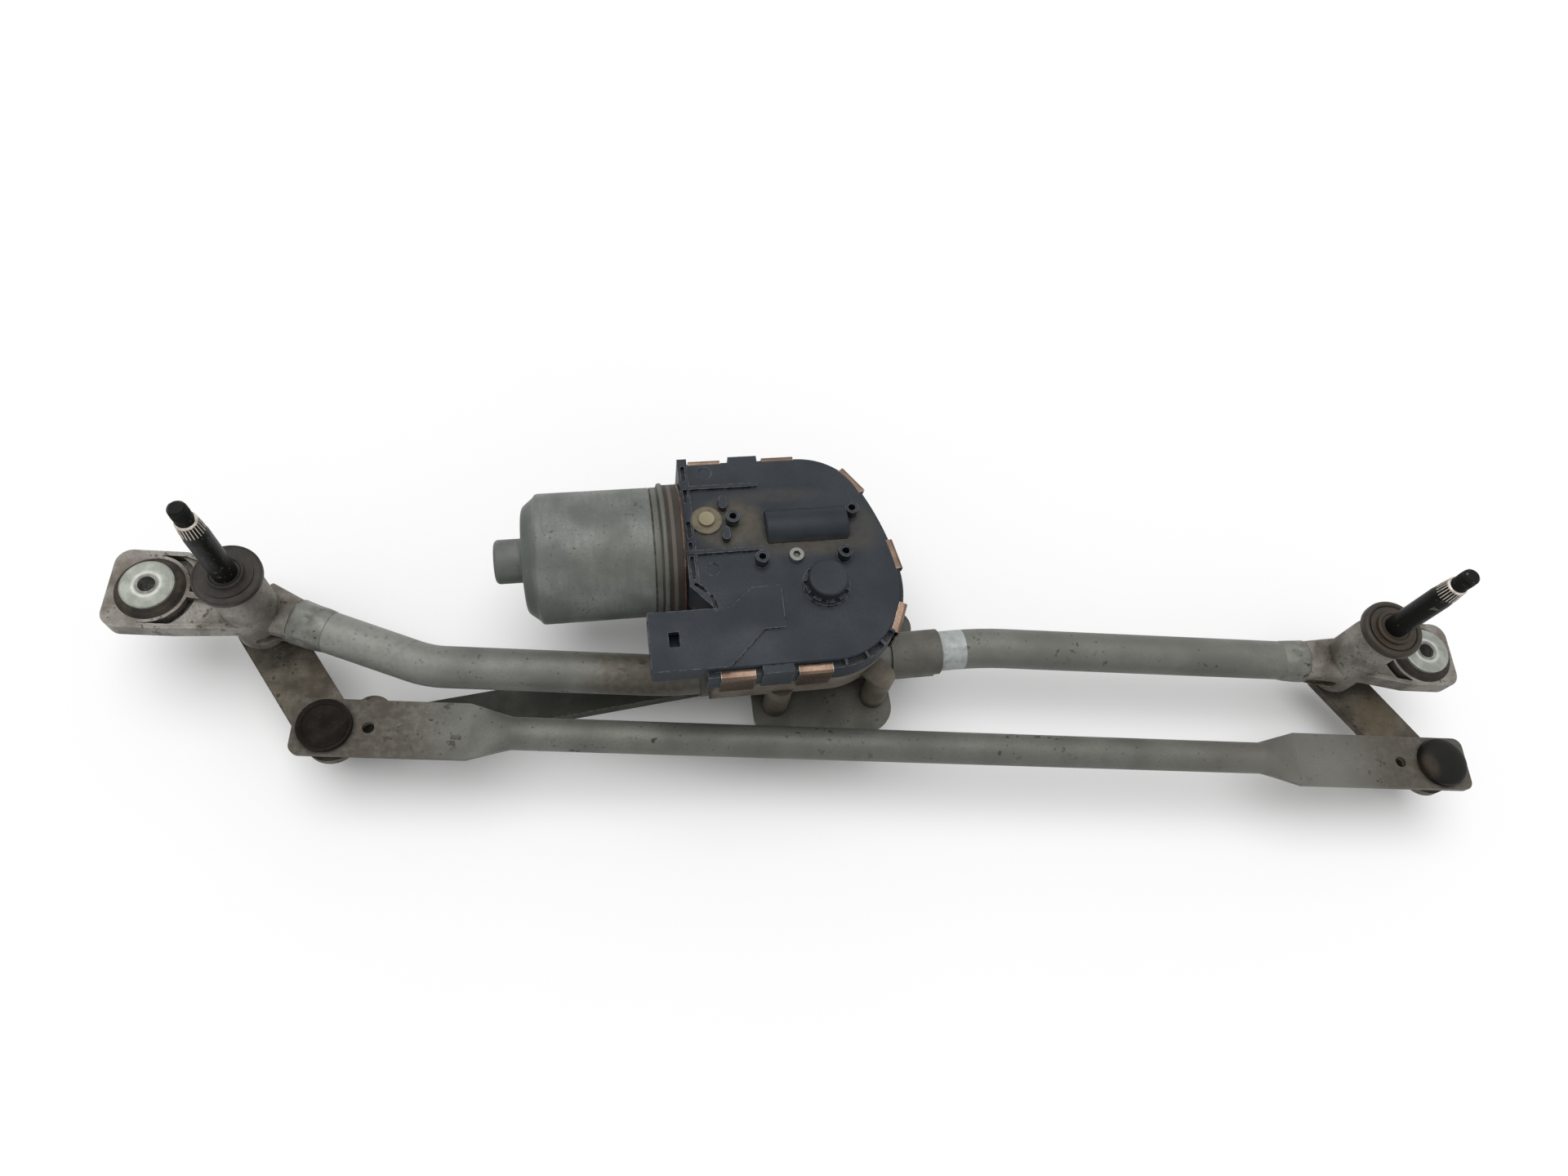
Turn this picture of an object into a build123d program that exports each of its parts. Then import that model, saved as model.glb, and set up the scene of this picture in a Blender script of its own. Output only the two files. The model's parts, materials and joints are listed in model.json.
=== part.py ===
from build123d import *
import os
from math import atan2, cos, degrees, pi, radians, sin, tan

# Windshield wiper motor with its tubular frame and rod linkage, in millimetres.
# The origin is the lower end of the left mounting sleeve's bore, +X runs towards the right
# spindle and +Z along the mounting bolts and the wiper spindles.

# Places in plan, measured from the left spindle, and heights, measured from the lever mid plane
spindle_x, spindle_y = 48.6, -6.1  # left spindle from the origin
lever_z = -18.0  # lever mid plane from the origin
spindle_pitch = 600.0
left_eye = (-48.6, 6.1)
right_eye = (38.6, 0.8)  # from the right spindle

# Wiper spindles and their bearings
spindle_radius = 6.0
spindle_top = 128.0
knurl_length = 13.5
spindle_thread_length, spindle_thread_radius = 11.5, 4.0
knurl_top_radius = 4.7
bush_wall = 1.5
bush_length = 16.0
running_clearance = 0.03
lever_gap = 0.5  # from a lever to the casting above it
pivot_top = 60.0
pivot_radius = 13.5
pivot_neck_radius = 11.5
seal_radius = 16.3

# Mounting eyes
eye_bottom, eye_top = 21.0, 31.0
sleeve_bottom, sleeve_top = 18.0, 36.0
mount_bore_radius = 4.25
sleeve_radius = 6.5
washer_radius = 13.0
washer_thickness = 2.0
washer_edge = 0.8
grommet_radius = 15.5
grommet_lip = 1.6
eye_sizes = {"left": (41, 43), "right": (37, 38)}
eye_corner = 8.0
eye_ring_wall = 3.2
eye_rim = 2.4
eye_web = 3.0
eye_floor_depth, eye_groove_depth, eye_groove_width = 2.2, 6.5, 3.4

# Arm between a pivot barrel and the frame tube
arm_root_margin, arm_end_margin = 2.0, 0.5
arm_pocket_height, arm_pocket_web, arm_pocket_start = 7.0, 19.0, 5.0
barrel_shoulder, barrel_taper = 14.0, 8.0  # below the barrel's top

# Frame tube
tube_radius = 11.0
tube_wall = 1.5
tube_lever_gap = 1.5
tube_start = (20.0, -1.5)
tube_end_gap = 25.0  # from the right spindle
tube_bends = [55, 150, 220]
tube_boss_gap = 1.15
spigot_length = 26.0

# Levers and ball joints
lever_thickness = 5.0
lever_width = 28.0
lever_head = 1.5  # of a spindle or stud under a lever
coupling_ball_at = (44.0, -58.5)  # from each spindle
drive_ball_at = (62.5, -46.5)  # from the left spindle
sweep_angle = 82.0  # lever travel from the parked position
ball_radius = 6.5
ball_gap = 0.3
ball_mouth = 4.8  # from a ball's centre to its socket's mouth
stud_radius = 4.0
coupling_ball_z = 10.0
socket_radius = 12.0
socket_wall = 2.0
socket_crown = 1.7

# Coupling rod between the two levers
rod_radius = 8.5
rod_wall = 1.5
rod_rise = 4.0  # above its balls
flat_width = 29.5
flat_thickness = 3.4
flat_overhang = 16.0
left_flat_length, right_flat_length = 70.0, 84.0
flat_transition = 22.0
flat_corner = 5.0
pressed_seam = 0.4
rod_hole_radius = 3.0
left_hole_inset, right_hole_inset = 21.0, 23.5
cap_radius = 13.5

# Drive rod, a pressed channel between the crank and the left lever
channel_width = 22.0
channel_thickness = 2.5
channel_height = 7.9
channel_end_radius = 13.0

# Gear motor; its own frame has u along the motor axis and v across it, from the output shaft
output_at = (290.5, 7.5)
motor_turn = 7.5
motor_z = 46.0
gear_module = 1.25
wheel_teeth = 52
wheel_thickness = 12.0
wheel_rim, wheel_hub, wheel_recess = 6.0, 5.0, 4.0
worm_radius = 4.5
thread_turns = 7  # an odd number leaves a gap of the worm wheel opposite a crest
gear_backlash, gear_flank = 0.36, 18.0
tooth_merge = 0.3  # that a tooth reaches into its root
shaft_radius = 5.0
shaft_thread_radius = 4.0
arm_thickness = 3.8
arm_gap = 0.8  # from the crank arm to the screw heads above it
nut_height = 6.0

# Motor
can_radius = 34.0
can_wall = 1.6
can_start, can_end = -142.3, -80.0
can_dome = 7.7
dome_slope = 7.0
can_groove_at, can_groove = -84.5, 0.6
nub_radius = 11.5
nub_length = 15.0
rim_width, rim_thickness = 2.0, 2.5
air_gap = 1.1
core_length = 38.0
core_slots = 12
armature_shaft_radius = 4.0
magnet_thickness, magnet_gap = 5.8, 18.0
worm_half_length = 18.0
worm_spigot_radius, worm_spigot_length = 2.2, 12.0

# Gear housing and electronics cover
housing_bottom, housing_top = 32.0, 54.0
cover_top = 72.0
housing_inset = 2.5
housing_wall = 3.0
cover_wall = 2.2
cover_skin = 2.5
cover_left, cover_back, cover_front, cover_right = -68.5, 76.5, -44.9, 40.5
notch = (-64.0, -10.5)  # the corner between the cover and its connector
foot_radius = 6.8
front_feet, back_foot = (-24.0, 30.0), (3.0, 48.0)
foot_gap = 0.25  # to the frame tube
boss_radius = 8.5
raised_step = 1.2
ledge_width, ledge_depth = 3.0, 4.5  # round the top plate, where the clips sit
plate_edge = 0.7
rail_width, rail_height = 5.0, 1.0
rail_slots = [(67.5, 9.0), (54.0, 8.0), (34.2, 9.5), (24.8, 4.5), (12.5, 13.0)]
slot_width, slot_depth = 2.0, 2.4
knock_outs, knock_out_radius = [(-54.6, 68.0), (-56.0, 11.6)], 3.4
long_slots = [(-63.2, 1.2, 7.8, -41), (-57.4, -7.3, 9.6, -79)]
back_lug, front_lug = (-41.4, -26.1), (-37.5, -22.0)
lug_reach = 1.2
skirt_ribs = (0.15, 0.36, 0.62, 0.9)  # along the front right corner
skirt_pocket_depth = 1.6
window_at, window_size = (-78.9, -25.6), (5.2, 7.8)

bolt_depth = 14.0
board_bottom, board_thickness = 57.5, 1.6
hump_start, hump_length, hump_v = -27.0, 43.0, 33.5
hump_radius, hump_top = 10.5, 79.0
cover_posts = [(-43.4, 38.1), (-31.1, 14.0), (18.8, 39.0), (11.7, 14.1)]
post_radius, post_height = 3.5, 6.0
contact_at, contact_radius = (-56.6, 39.2), 4.0
plug_at, plug_radius, plug_height = (0.0, -1.6), 10.2, 8.3
cover_screw_at, screw_shank_radius = (-13.0, 15.7), 1.6
clip_gauge, clip_width = 0.8, 17.0
clip_foot = 1.8
clip_bead, clip_bead_height = 1.0, 3.5
nib_length, nib_width, nib_height = 2.6, 1.3, 8.0

# Connector shroud on the cover
shroud_left = -91.0
shroud_bottom = 61.0
shroud_wall = 1.8
shroud_depth = 26.0
shroud_overlap = 7.0
pin_length = 9.0
pin_pitch, pin_rows_apart, pin_size, pin_columns = 4.5, 3.5, 1.2, 5

# Carrier plate, welded round the frame tube
plate_thickness = 3.0
plate_tube_gap = 0.4
plate_left, plate_right, plate_front, plate_back = -36.0, 40.0, -58.0, 66.0
plate_corner = 14.0
collar_wall = 1.5
collar_length = 28.0
bolt_radius = 3.0
bolt_head_radius = 6.0
bolt_head_height = 2.5
peg_at = (-8.0, 82.0)  # in the motor's frame
peg_radius = 5.0
peg_rubber_radius = 10.0

# Sizes that follow from the driving dimensions
spindle_thread_height = spindle_top - spindle_thread_length
spindle_seat_height = spindle_thread_height - knurl_length
bush_radius = spindle_radius + bush_wall
pivot_bottom = lever_thickness / 2 + lever_gap
tube_z = lever_thickness / 2 + tube_lever_gap + tube_radius
wheel_radius = gear_module * wheel_teeth / 2
addendum, dedendum = gear_module, 1.25 * gear_module
worm_pitch = pi * gear_module
worm_lead = atan2(worm_pitch, 2 * pi * worm_radius)
centre_distance = wheel_radius + worm_radius
tube_v = -(boss_radius + tube_boss_gap + tube_radius)  # under the motor, in its frame
feet = [(u, tube_v - tube_radius - foot_gap - foot_radius) for u in front_feet]
feet.append(back_foot)
plate_top = tube_z - tube_radius - plate_tube_gap
plate_bottom = plate_top - plate_thickness
arm_top = plate_bottom - bolt_head_height - arm_gap
arm_bottom = arm_top - arm_thickness
drive_ball_z = arm_bottom - ball_radius
drive_radius = Vector(*drive_ball_at).length
drive_angle = degrees(atan2(drive_ball_at[1], drive_ball_at[0]))
crank_radius = drive_radius * sin(radians(sweep_angle / 2))
crank_angle = 90 + drive_angle - sweep_angle / 2
channel_top = drive_ball_z - ball_radius - ball_gap - socket_wall - ball_gap
channel_bottom = channel_top - channel_thickness
rest_z = channel_top - channel_height  # the lowest points, which it stands on
worm_root_radius = worm_radius - dedendum
spigot_end = -worm_half_length - worm_spigot_length
board_top = board_bottom + board_thickness
rod_z = coupling_ball_z + rod_rise
ledge_z = cover_top - ledge_depth
shroud_back, shroud_front = notch[1], cover_front + ledge_width
crank_ball_at = (
    output_at[0] + crank_radius * cos(radians(crank_angle)),
    output_at[1] + crank_radius * sin(radians(crank_angle)),
)


def station(x=0.0, y=0.0, z=0.0, turn=0.0):
    """A level plane at a place given from the left spindle at lever height."""
    return Plane(
        origin=(spindle_x + x, spindle_y + y, lever_z + z),
        x_dir=(cos(radians(turn)), sin(radians(turn)), 0),
        z_dir=(0, 0, 1),
    )


def upright(x=0.0, y=0.0, turn=0.0):
    """An upright plane through a place in plan: its x is radial and its y is height."""
    return Plane(
        origin=(spindle_x + x, spindle_y + y, lever_z),
        x_dir=(cos(radians(turn)), sin(radians(turn)), 0),
        z_dir=(sin(radians(turn)), -cos(radians(turn)), 0),
    )


def motor_point(u, v):
    """A plan place, from the left spindle, of a point given in the motor's frame."""
    turn = radians(motor_turn)
    x = output_at[0] + u * cos(turn) - v * sin(turn)
    y = output_at[1] + u * sin(turn) + v * cos(turn)
    return (x, y)


def motor_level(z=0.0, u=0.0, v=0.0):
    """A level plane in the motor's frame."""
    return station(*motor_point(u, v), z, motor_turn)


def along_motor(u=0.0, v=centre_distance, z=motor_z):
    """An upright plane whose x runs along the motor and whose y is height."""
    level = motor_level(z, u, v)
    return Plane(origin=level.origin, x_dir=level.x_dir, z_dir=-level.y_dir)


def across_motor(u=0.0, v=centre_distance, z=motor_z):
    """An upright plane across the motor axis: its x is v and its y is height."""
    level = motor_level(z, u, v)
    return Plane(origin=level.origin, x_dir=level.y_dir, z_dir=level.x_dir)


def keep(piece, name):
    """Label one finished piece and write it."""
    piece.part.label = name
    export_step(piece.part, f"parts/{name}.step")


def turned(at, profile):
    """A body turned about the upright axis at a place, from (radius, height) points."""
    with BuildPart() as body:
        with BuildSketch(upright(*at)):
            with BuildLine():
                Polyline(*profile, close=True)
            make_face()
        revolve(axis=Axis(station(*at).origin, (0, 0, 1)))
    return body


def turned_on_motor(profile):
    """A body turned about the motor axis, from (u, radius) points."""
    plane = along_motor()
    with BuildPart() as body:
        with BuildSketch(plane):
            with BuildLine():
                Polyline(*profile, close=True)
            make_face()
        revolve(axis=Axis(plane.origin, plane.x_dir))
    return body


def ring_profile(inner, outer, bottom, top):
    """The four corners of a plain ring's section."""
    return [(inner, bottom), (outer, bottom), (outer, top), (inner, top)]


def ring_profile_along(inner, outer, start, end):
    """The four corners of a plain ring's section on the motor axis."""
    return [(start, inner), (end, inner), (end, outer), (start, outer)]


def tooth_section(root):
    """The four corners of a gear tooth or worm thread above a root, from its centre line."""
    half_root = worm_pitch / 4 - gear_backlash / 4
    half_root += (dedendum + tooth_merge) * tan(radians(gear_flank))
    half_tip = worm_pitch / 4 - gear_backlash / 4 - addendum * tan(radians(gear_flank))
    tip = root + dedendum + addendum
    return [
        (root - tooth_merge, -half_root),
        (tip, -half_tip),
        (tip, half_tip),
        (root - tooth_merge, half_root),
    ]


def from_right(point):
    """A plan place given from the right spindle."""
    return (spindle_pitch + point[0], point[1])


os.makedirs("parts", exist_ok=True)

# Frame tube, straight where it passes under the motor
tube_route = [
    tube_start,
    (90, -24),
    motor_point(-78.97, tube_v - 0.73),
    motor_point(92.71, tube_v + 0.88),
    (spindle_pitch - tube_end_gap, 0),
]
with BuildPart() as frame_tube:
    with BuildLine(station(z=tube_z)) as tube_line:
        FilletPolyline(*tube_route, radius=tube_bends)
    with BuildSketch(Plane(tube_line.line @ 0, z_dir=tube_line.line % 0)):
        Circle(tube_radius)
        Circle(tube_radius - tube_wall, mode=Mode.SUBTRACT)
    sweep(path=tube_line.line)
keep(frame_tube, "frame_tube")
tube_ends = [
    (tube_line.line @ 0, tube_line.line % 0),
    (tube_line.line @ 1, -(tube_line.line % 1)),
]


def pivot_housing(at, eye, eye_size, tube_end):
    """A cast pivot housing: barrel for the spindle, arm with its spigot, and mounting eye."""
    end_point, into_tube = tube_end
    axis_point = station(*at, tube_z).origin
    reach = (end_point - axis_point).dot(into_tube)
    root_plane = Plane(end_point - into_tube * (reach - 2), z_dir=into_tube)
    end_plane = Plane(end_point, z_dir=into_tube)
    pocket_length = reach - 2 - arm_pocket_start
    arm_side = Plane(
        end_point - into_tube * (2 + pocket_length / 2) - Vector(0, 0, tube_radius / 4),
        x_dir=into_tube,
        z_dir=into_tube.cross(Vector(0, 0, 1)),
    )
    eye_distance = Vector(*eye).length
    eye_turn = degrees(atan2(eye[1], eye[0]))

    def pocket(depth, outside):
        """The floor between the eye's ring and the barrel, on both sides of their web."""
        with BuildSketch(station(*at, eye_top - depth)) as floor:
            with Locations(eye):
                RectangleRounded(*eye_size, eye_corner)
            Circle(pivot_radius)
            make_hull()
            offset(amount=-eye_rim, mode=Mode.REPLACE)
            with Locations(Location((0, 0, 0), (0, 0, eye_turn))):
                with Locations((eye_distance / 2, 0)):
                    Rectangle(eye_distance, 2 * eye_distance, mode=Mode.INTERSECT)
            with Locations(Location((0, 0, 0), (0, 0, eye_turn))):
                with Locations((eye_distance / 2, 0)):
                    Rectangle(eye_distance, eye_web, mode=Mode.SUBTRACT)
            with Locations(eye):
                Circle(outside, mode=Mode.INTERSECT)
                Circle(grommet_radius + eye_ring_wall, mode=Mode.SUBTRACT)
            Circle(pivot_radius + eye_rim / 2, mode=Mode.SUBTRACT)
        return floor.sketch

    with BuildPart() as housing:
        with BuildSketch(station(*at, pivot_bottom)):
            Circle(pivot_radius)
        extrude(amount=pivot_top - barrel_shoulder - pivot_bottom)
        with BuildSketch(station(*at, pivot_top - barrel_shoulder)):
            Circle(pivot_radius)
        with BuildSketch(station(*at, pivot_top - barrel_taper)):
            Circle(pivot_neck_radius)
        loft()
        with BuildSketch(station(*at, pivot_top - barrel_taper)):
            Circle(pivot_neck_radius)
        extrude(amount=barrel_taper)
        with BuildSketch(root_plane):
            RectangleRounded(2 * (tube_radius + arm_root_margin), 2 * pivot_radius - 5, 5)
        with BuildSketch(end_plane):
            RectangleRounded(
                2 * tube_radius - arm_end_margin, 2 * tube_radius - arm_end_margin, 8
            )
        loft()
        with BuildSketch(end_plane):
            Circle(tube_radius - tube_wall)
        extrude(amount=spigot_length)
        with BuildSketch(station(*at, eye_bottom)):
            with Locations(eye):
                RectangleRounded(*eye_size, eye_corner)
            Circle(pivot_radius)
            make_hull()
        extrude(amount=eye_top - eye_bottom)
        for depth, outside in (
            (eye_floor_depth, eye_distance),
            (eye_groove_depth, grommet_radius + eye_ring_wall + eye_groove_width),
        ):
            extrude(pocket(depth, outside), amount=depth, mode=Mode.SUBTRACT)
        for way in (-1, 1):
            with BuildSketch(arm_side.offset(way * arm_pocket_web / 2)):
                SlotOverall(pocket_length, arm_pocket_height)
            extrude(amount=way * tube_radius, mode=Mode.SUBTRACT)
        with BuildSketch(station(*at, pivot_bottom)):
            Circle(bush_radius)
        extrude(amount=pivot_top - pivot_bottom, mode=Mode.SUBTRACT)
        with BuildSketch(station(*at, eye_bottom)):
            with Locations(eye):
                Circle(grommet_radius)
        extrude(amount=eye_top - eye_bottom, mode=Mode.SUBTRACT)
    return housing


left_pivot_housing = pivot_housing((0, 0), left_eye, eye_sizes["left"], tube_ends[0])
keep(left_pivot_housing, "left_pivot_housing")
right_pivot_housing = pivot_housing(
    from_right((0, 0)), right_eye, eye_sizes["right"], tube_ends[1]
)
keep(right_pivot_housing, "right_pivot_housing")

# Rubber grommets and flanged steel sleeves in the mounting eyes
mount_places = {"left": left_eye, "right": from_right(right_eye)}
for side, place in mount_places.items():
    grommet = turned(
        place,
        [
            (sleeve_radius, eye_bottom - grommet_lip),
            (grommet_radius + grommet_lip, eye_bottom - grommet_lip),
            (grommet_radius + grommet_lip, eye_bottom),
            (grommet_radius, eye_bottom),
            (grommet_radius, eye_top),
            (grommet_radius + grommet_lip, eye_top),
            (grommet_radius, eye_top + grommet_lip),
            (washer_radius, sleeve_top - washer_thickness),
            (sleeve_radius, sleeve_top - washer_thickness),
        ],
    )
    keep(grommet, f"{side}_grommet")
    sleeve = turned(
        place,
        [
            (mount_bore_radius, sleeve_bottom),
            (sleeve_radius, sleeve_bottom),
            (sleeve_radius, sleeve_top - washer_thickness),
            (washer_radius, sleeve_top - washer_thickness),
            (washer_radius, sleeve_top - washer_edge / 2),
            (washer_radius - washer_edge, sleeve_top),
            (mount_bore_radius, sleeve_top),
        ],
    )
    keep(sleeve, f"{side}_mount_sleeve")

# Spindle bushes, spindles and seal discs
for side, place in {"left": (0, 0), "right": (spindle_pitch, 0)}.items():
    bore = spindle_radius + running_clearance
    lower_bush = turned(
        place,
        ring_profile(bore, bush_radius, pivot_bottom, pivot_bottom + bush_length),
    )
    keep(lower_bush, f"{side}_lower_bush")
    upper_bush = turned(
        place, ring_profile(bore, bush_radius, pivot_top - bush_length, pivot_top)
    )
    keep(upper_bush, f"{side}_upper_bush")
    spindle = turned(
        place,
        [
            (0, -lever_thickness / 2 - lever_head),
            (spindle_radius + 1, -lever_thickness / 2 - lever_head),
            (spindle_radius + 2, -lever_thickness / 2),
            (spindle_radius - 1, -lever_thickness / 2),
            (spindle_radius - 1, lever_thickness / 2),
            (spindle_radius, lever_thickness / 2),
            (spindle_radius, spindle_seat_height),
            (knurl_top_radius, spindle_thread_height),
            (spindle_thread_radius, spindle_thread_height),
            (spindle_thread_radius, spindle_top - 1),
            (spindle_thread_radius - 1, spindle_top),
            (0, spindle_top),
        ],
    )
    keep(spindle, f"{side}_spindle")
    disc_bottom = pivot_top + 0.5
    seal_disc = turned(
        place,
        [
            (spindle_radius, disc_bottom),
            (seal_radius, disc_bottom),
            (seal_radius, disc_bottom + 2.6),
            (seal_radius - 3.7, disc_bottom + 3.1),
            (seal_radius - 3.7, disc_bottom + 4.0),
            (seal_radius - 7.5, disc_bottom + 4.0),
            (seal_radius - 7.5, disc_bottom + 4.8),
            (seal_radius - 9.0, disc_bottom + 5.7),
            (spindle_radius, disc_bottom + 5.7),
        ],
    )
    keep(seal_disc, f"{side}_seal_disc")

# Levers
with BuildPart() as left_lever:
    with BuildSketch(station(z=-lever_thickness / 2)):
        Circle(lever_width / 2)
        with Locations(coupling_ball_at):
            Circle(lever_width / 2)
        make_hull()
    extrude(amount=lever_thickness)
    with BuildSketch(station(z=-lever_thickness / 2)):
        with Locations(coupling_ball_at):
            Circle(stud_radius + 5)
        with Locations(drive_ball_at):
            Circle(stud_radius + 6)
        make_hull()
    extrude(amount=lever_thickness)
    with BuildSketch(station(z=-lever_thickness / 2)):
        Circle(spindle_radius - 1)
        with Locations(coupling_ball_at, drive_ball_at):
            Circle(stud_radius)
    extrude(amount=lever_thickness, mode=Mode.SUBTRACT)
keep(left_lever, "left_lever")

with BuildPart() as right_lever:
    with BuildSketch(station(spindle_pitch, 0, -lever_thickness / 2)):
        Circle(lever_width / 2)
        with Locations(coupling_ball_at):
            Circle(lever_width / 2 - 0.5)
        make_hull()
        Circle(spindle_radius - 1, mode=Mode.SUBTRACT)
        with Locations(coupling_ball_at):
            Circle(stud_radius, mode=Mode.SUBTRACT)
    extrude(amount=lever_thickness)
keep(right_lever, "right_lever")


def ball_stud(at, ball_z, rivet):
    """A ball stud: its shank from the rivet end to the ball."""
    with BuildPart() as stud:
        with BuildSketch(station(*at, min(rivet, ball_z))):
            Circle(stud_radius)
        extrude(amount=abs(ball_z - rivet))
        with Locations(station(*at, ball_z).location):
            Sphere(ball_radius)
    return stud


def socket(at, ball_z, mouth, floor, cap=None):
    """A ball socket: a round body from its mouth to its floor, with the ball's hollow."""
    low, high = min(mouth, floor), max(mouth, floor)
    with BuildPart() as cup:
        with BuildSketch(station(*at, low)):
            Circle(socket_radius)
        extrude(amount=high - low)
        if cap:
            for radius, bottom, top in cap:
                with BuildSketch(station(*at, bottom)):
                    Circle(radius)
                extrude(amount=top - bottom)
        with Locations(station(*at, ball_z).location):
            Sphere(ball_radius + ball_gap, mode=Mode.SUBTRACT)
        with BuildSketch(station(*at, min(mouth, ball_z))):
            Circle(stud_radius + 1.4)
        extrude(amount=abs(mouth - ball_z), mode=Mode.SUBTRACT)
    return cup


# Coupling ball joints, above the levers
flat_bottom = rod_z - flat_thickness / 2
flat_top = rod_z + flat_thickness / 2
coupling_places = {"left": coupling_ball_at, "right": from_right(coupling_ball_at)}
cup_mouth = coupling_ball_z - ball_mouth
cap_height = coupling_ball_z + ball_radius + ball_gap + socket_crown - flat_top
socket_hole_radius = socket_radius - 1.5
for side, place in coupling_places.items():
    stud = ball_stud(place, coupling_ball_z, -lever_thickness / 2)
    keep(stud, f"{side}_coupling_ball")
    cap_layers = [
        (socket_hole_radius, flat_bottom, flat_top),
        (cap_radius, flat_top, flat_top + cap_height),
    ]
    if side == "right":
        cap_layers += [
            (cap_radius - 2.5, flat_top + cap_height, flat_top + cap_height + 1.4)
        ]
    cup = socket(place, coupling_ball_z, cup_mouth, flat_bottom, cap_layers)
    keep(cup, f"{side}_coupling_socket")

# Coupling rod: a tube with both ends pressed flat
rod_y = coupling_ball_at[1]
left_end = coupling_ball_at[0] - flat_overhang
right_end = coupling_ball_at[0] + spindle_pitch + flat_overhang
left_round = coupling_ball_at[0] + left_flat_length + flat_transition
right_round = coupling_ball_at[0] + spindle_pitch - right_flat_length - flat_transition


def across_rod(x):
    """The coupling rod's cross section plane at a distance along it."""
    return Plane(
        origin=(spindle_x + x, spindle_y + rod_y, lever_z + rod_z),
        x_dir=(0, 1, 0),
        z_dir=(1, 0, 0),
    )


def pressed_tube(radius, width, thickness):
    """A round bar whose ends are pressed to a flat width and thickness."""
    with BuildPart() as bar:
        with BuildSketch(across_rod(left_round)):
            Circle(radius)
        extrude(amount=right_round - left_round)
        for start, end, side in (
            (left_round, left_end, -1),
            (right_round, right_end, 1),
        ):
            flat_start = start + side * flat_transition
            with BuildSketch(across_rod(start)):
                Circle(radius)
            with BuildSketch(across_rod(flat_start)):
                Rectangle(width, thickness)
            loft()
            with BuildSketch(across_rod(flat_start)):
                Rectangle(width, thickness)
            extrude(amount=end - flat_start)
    return bar.part


with BuildPart() as coupling_rod:
    add(pressed_tube(rod_radius, flat_width, flat_thickness))
    end_corners = edges().filter_by(Axis.Z)
    fillet(
        end_corners.group_by(Axis.X)[0] + end_corners.group_by(Axis.X)[-1],
        radius=flat_corner,
    )
    add(
        pressed_tube(
            rod_radius - rod_wall, flat_width - 2 * rod_wall, pressed_seam
        ),
        mode=Mode.SUBTRACT,
    )
    with BuildSketch(station(coupling_ball_at[0], rod_y, flat_bottom)):
        with Locations((0, 0), (spindle_pitch, 0)):
            Circle(socket_hole_radius)
        with Locations((left_hole_inset, 0), (spindle_pitch - right_hole_inset, 0)):
            Circle(rod_hole_radius)
    extrude(amount=flat_thickness, mode=Mode.SUBTRACT)
keep(coupling_rod, "coupling_rod")

# Drive rod
rod_vector = Vector(*crank_ball_at) - Vector(*drive_ball_at)
rod_length = rod_vector.length
rod_turn = degrees(atan2(rod_vector.Y, rod_vector.X))
channel_start = channel_end_radius + 9
with BuildPart() as drive_rod:
    rod_plane = station(*drive_ball_at, channel_bottom, rod_turn)
    with BuildSketch(rod_plane):
        with Locations((rod_length / 2, 0)):
            Rectangle(rod_length, channel_width)
        with Locations((0, 0), (rod_length, 0)):
            Circle(channel_end_radius)
    extrude(amount=channel_thickness)
    with BuildSketch(rod_plane):
        with Locations((rod_length / 2, 0)):
            with GridLocations(0, channel_width - 2, 1, 2):
                Rectangle(rod_length - 2 * channel_start, 2)
    extrude(amount=channel_thickness - channel_height)
    with BuildSketch(rod_plane):
        Circle(socket_radius - 4)
        with Locations((rod_length, 0)):
            Circle(3)
    extrude(amount=channel_thickness, mode=Mode.SUBTRACT)
keep(drive_rod, "drive_rod")

drive_mouth = drive_ball_z + ball_mouth
stud = ball_stud(drive_ball_at, drive_ball_z, lever_thickness / 2 + lever_head)
keep(stud, "drive_ball")
cup = socket(
    drive_ball_at,
    drive_ball_z,
    drive_mouth,
    channel_top,
    [
        (socket_radius - 4, channel_bottom, channel_top),
        (socket_radius - 2, channel_bottom - 1.5, channel_bottom),
    ],
)
keep(cup, "drive_socket")

# Crank, its ball joint and nut
with BuildPart() as crank_arm:
    with BuildSketch(station(*output_at, arm_bottom, crank_angle)):
        Circle(13)
        with Locations((crank_radius, 0)):
            Circle(11)
        make_hull()
        Circle(shaft_radius, mode=Mode.SUBTRACT)
        with Locations((crank_radius, 0)):
            Circle(stud_radius, mode=Mode.SUBTRACT)
    extrude(amount=arm_thickness)
keep(crank_arm, "crank_arm")
crank_ball = ball_stud(crank_ball_at, drive_ball_z, arm_top)
keep(crank_ball, "crank_ball")
crank_socket = socket(
    crank_ball_at, drive_ball_z, drive_mouth, channel_top + ball_gap
)
keep(crank_socket, "crank_socket")
with BuildPart() as crank_nut:
    with BuildSketch(station(*output_at, arm_bottom - nut_height)):
        RegularPolygon(6.5, 6, major_radius=False)
        Circle(shaft_thread_radius, mode=Mode.SUBTRACT)
    extrude(amount=nut_height)
keep(crank_nut, "crank_nut")

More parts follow.
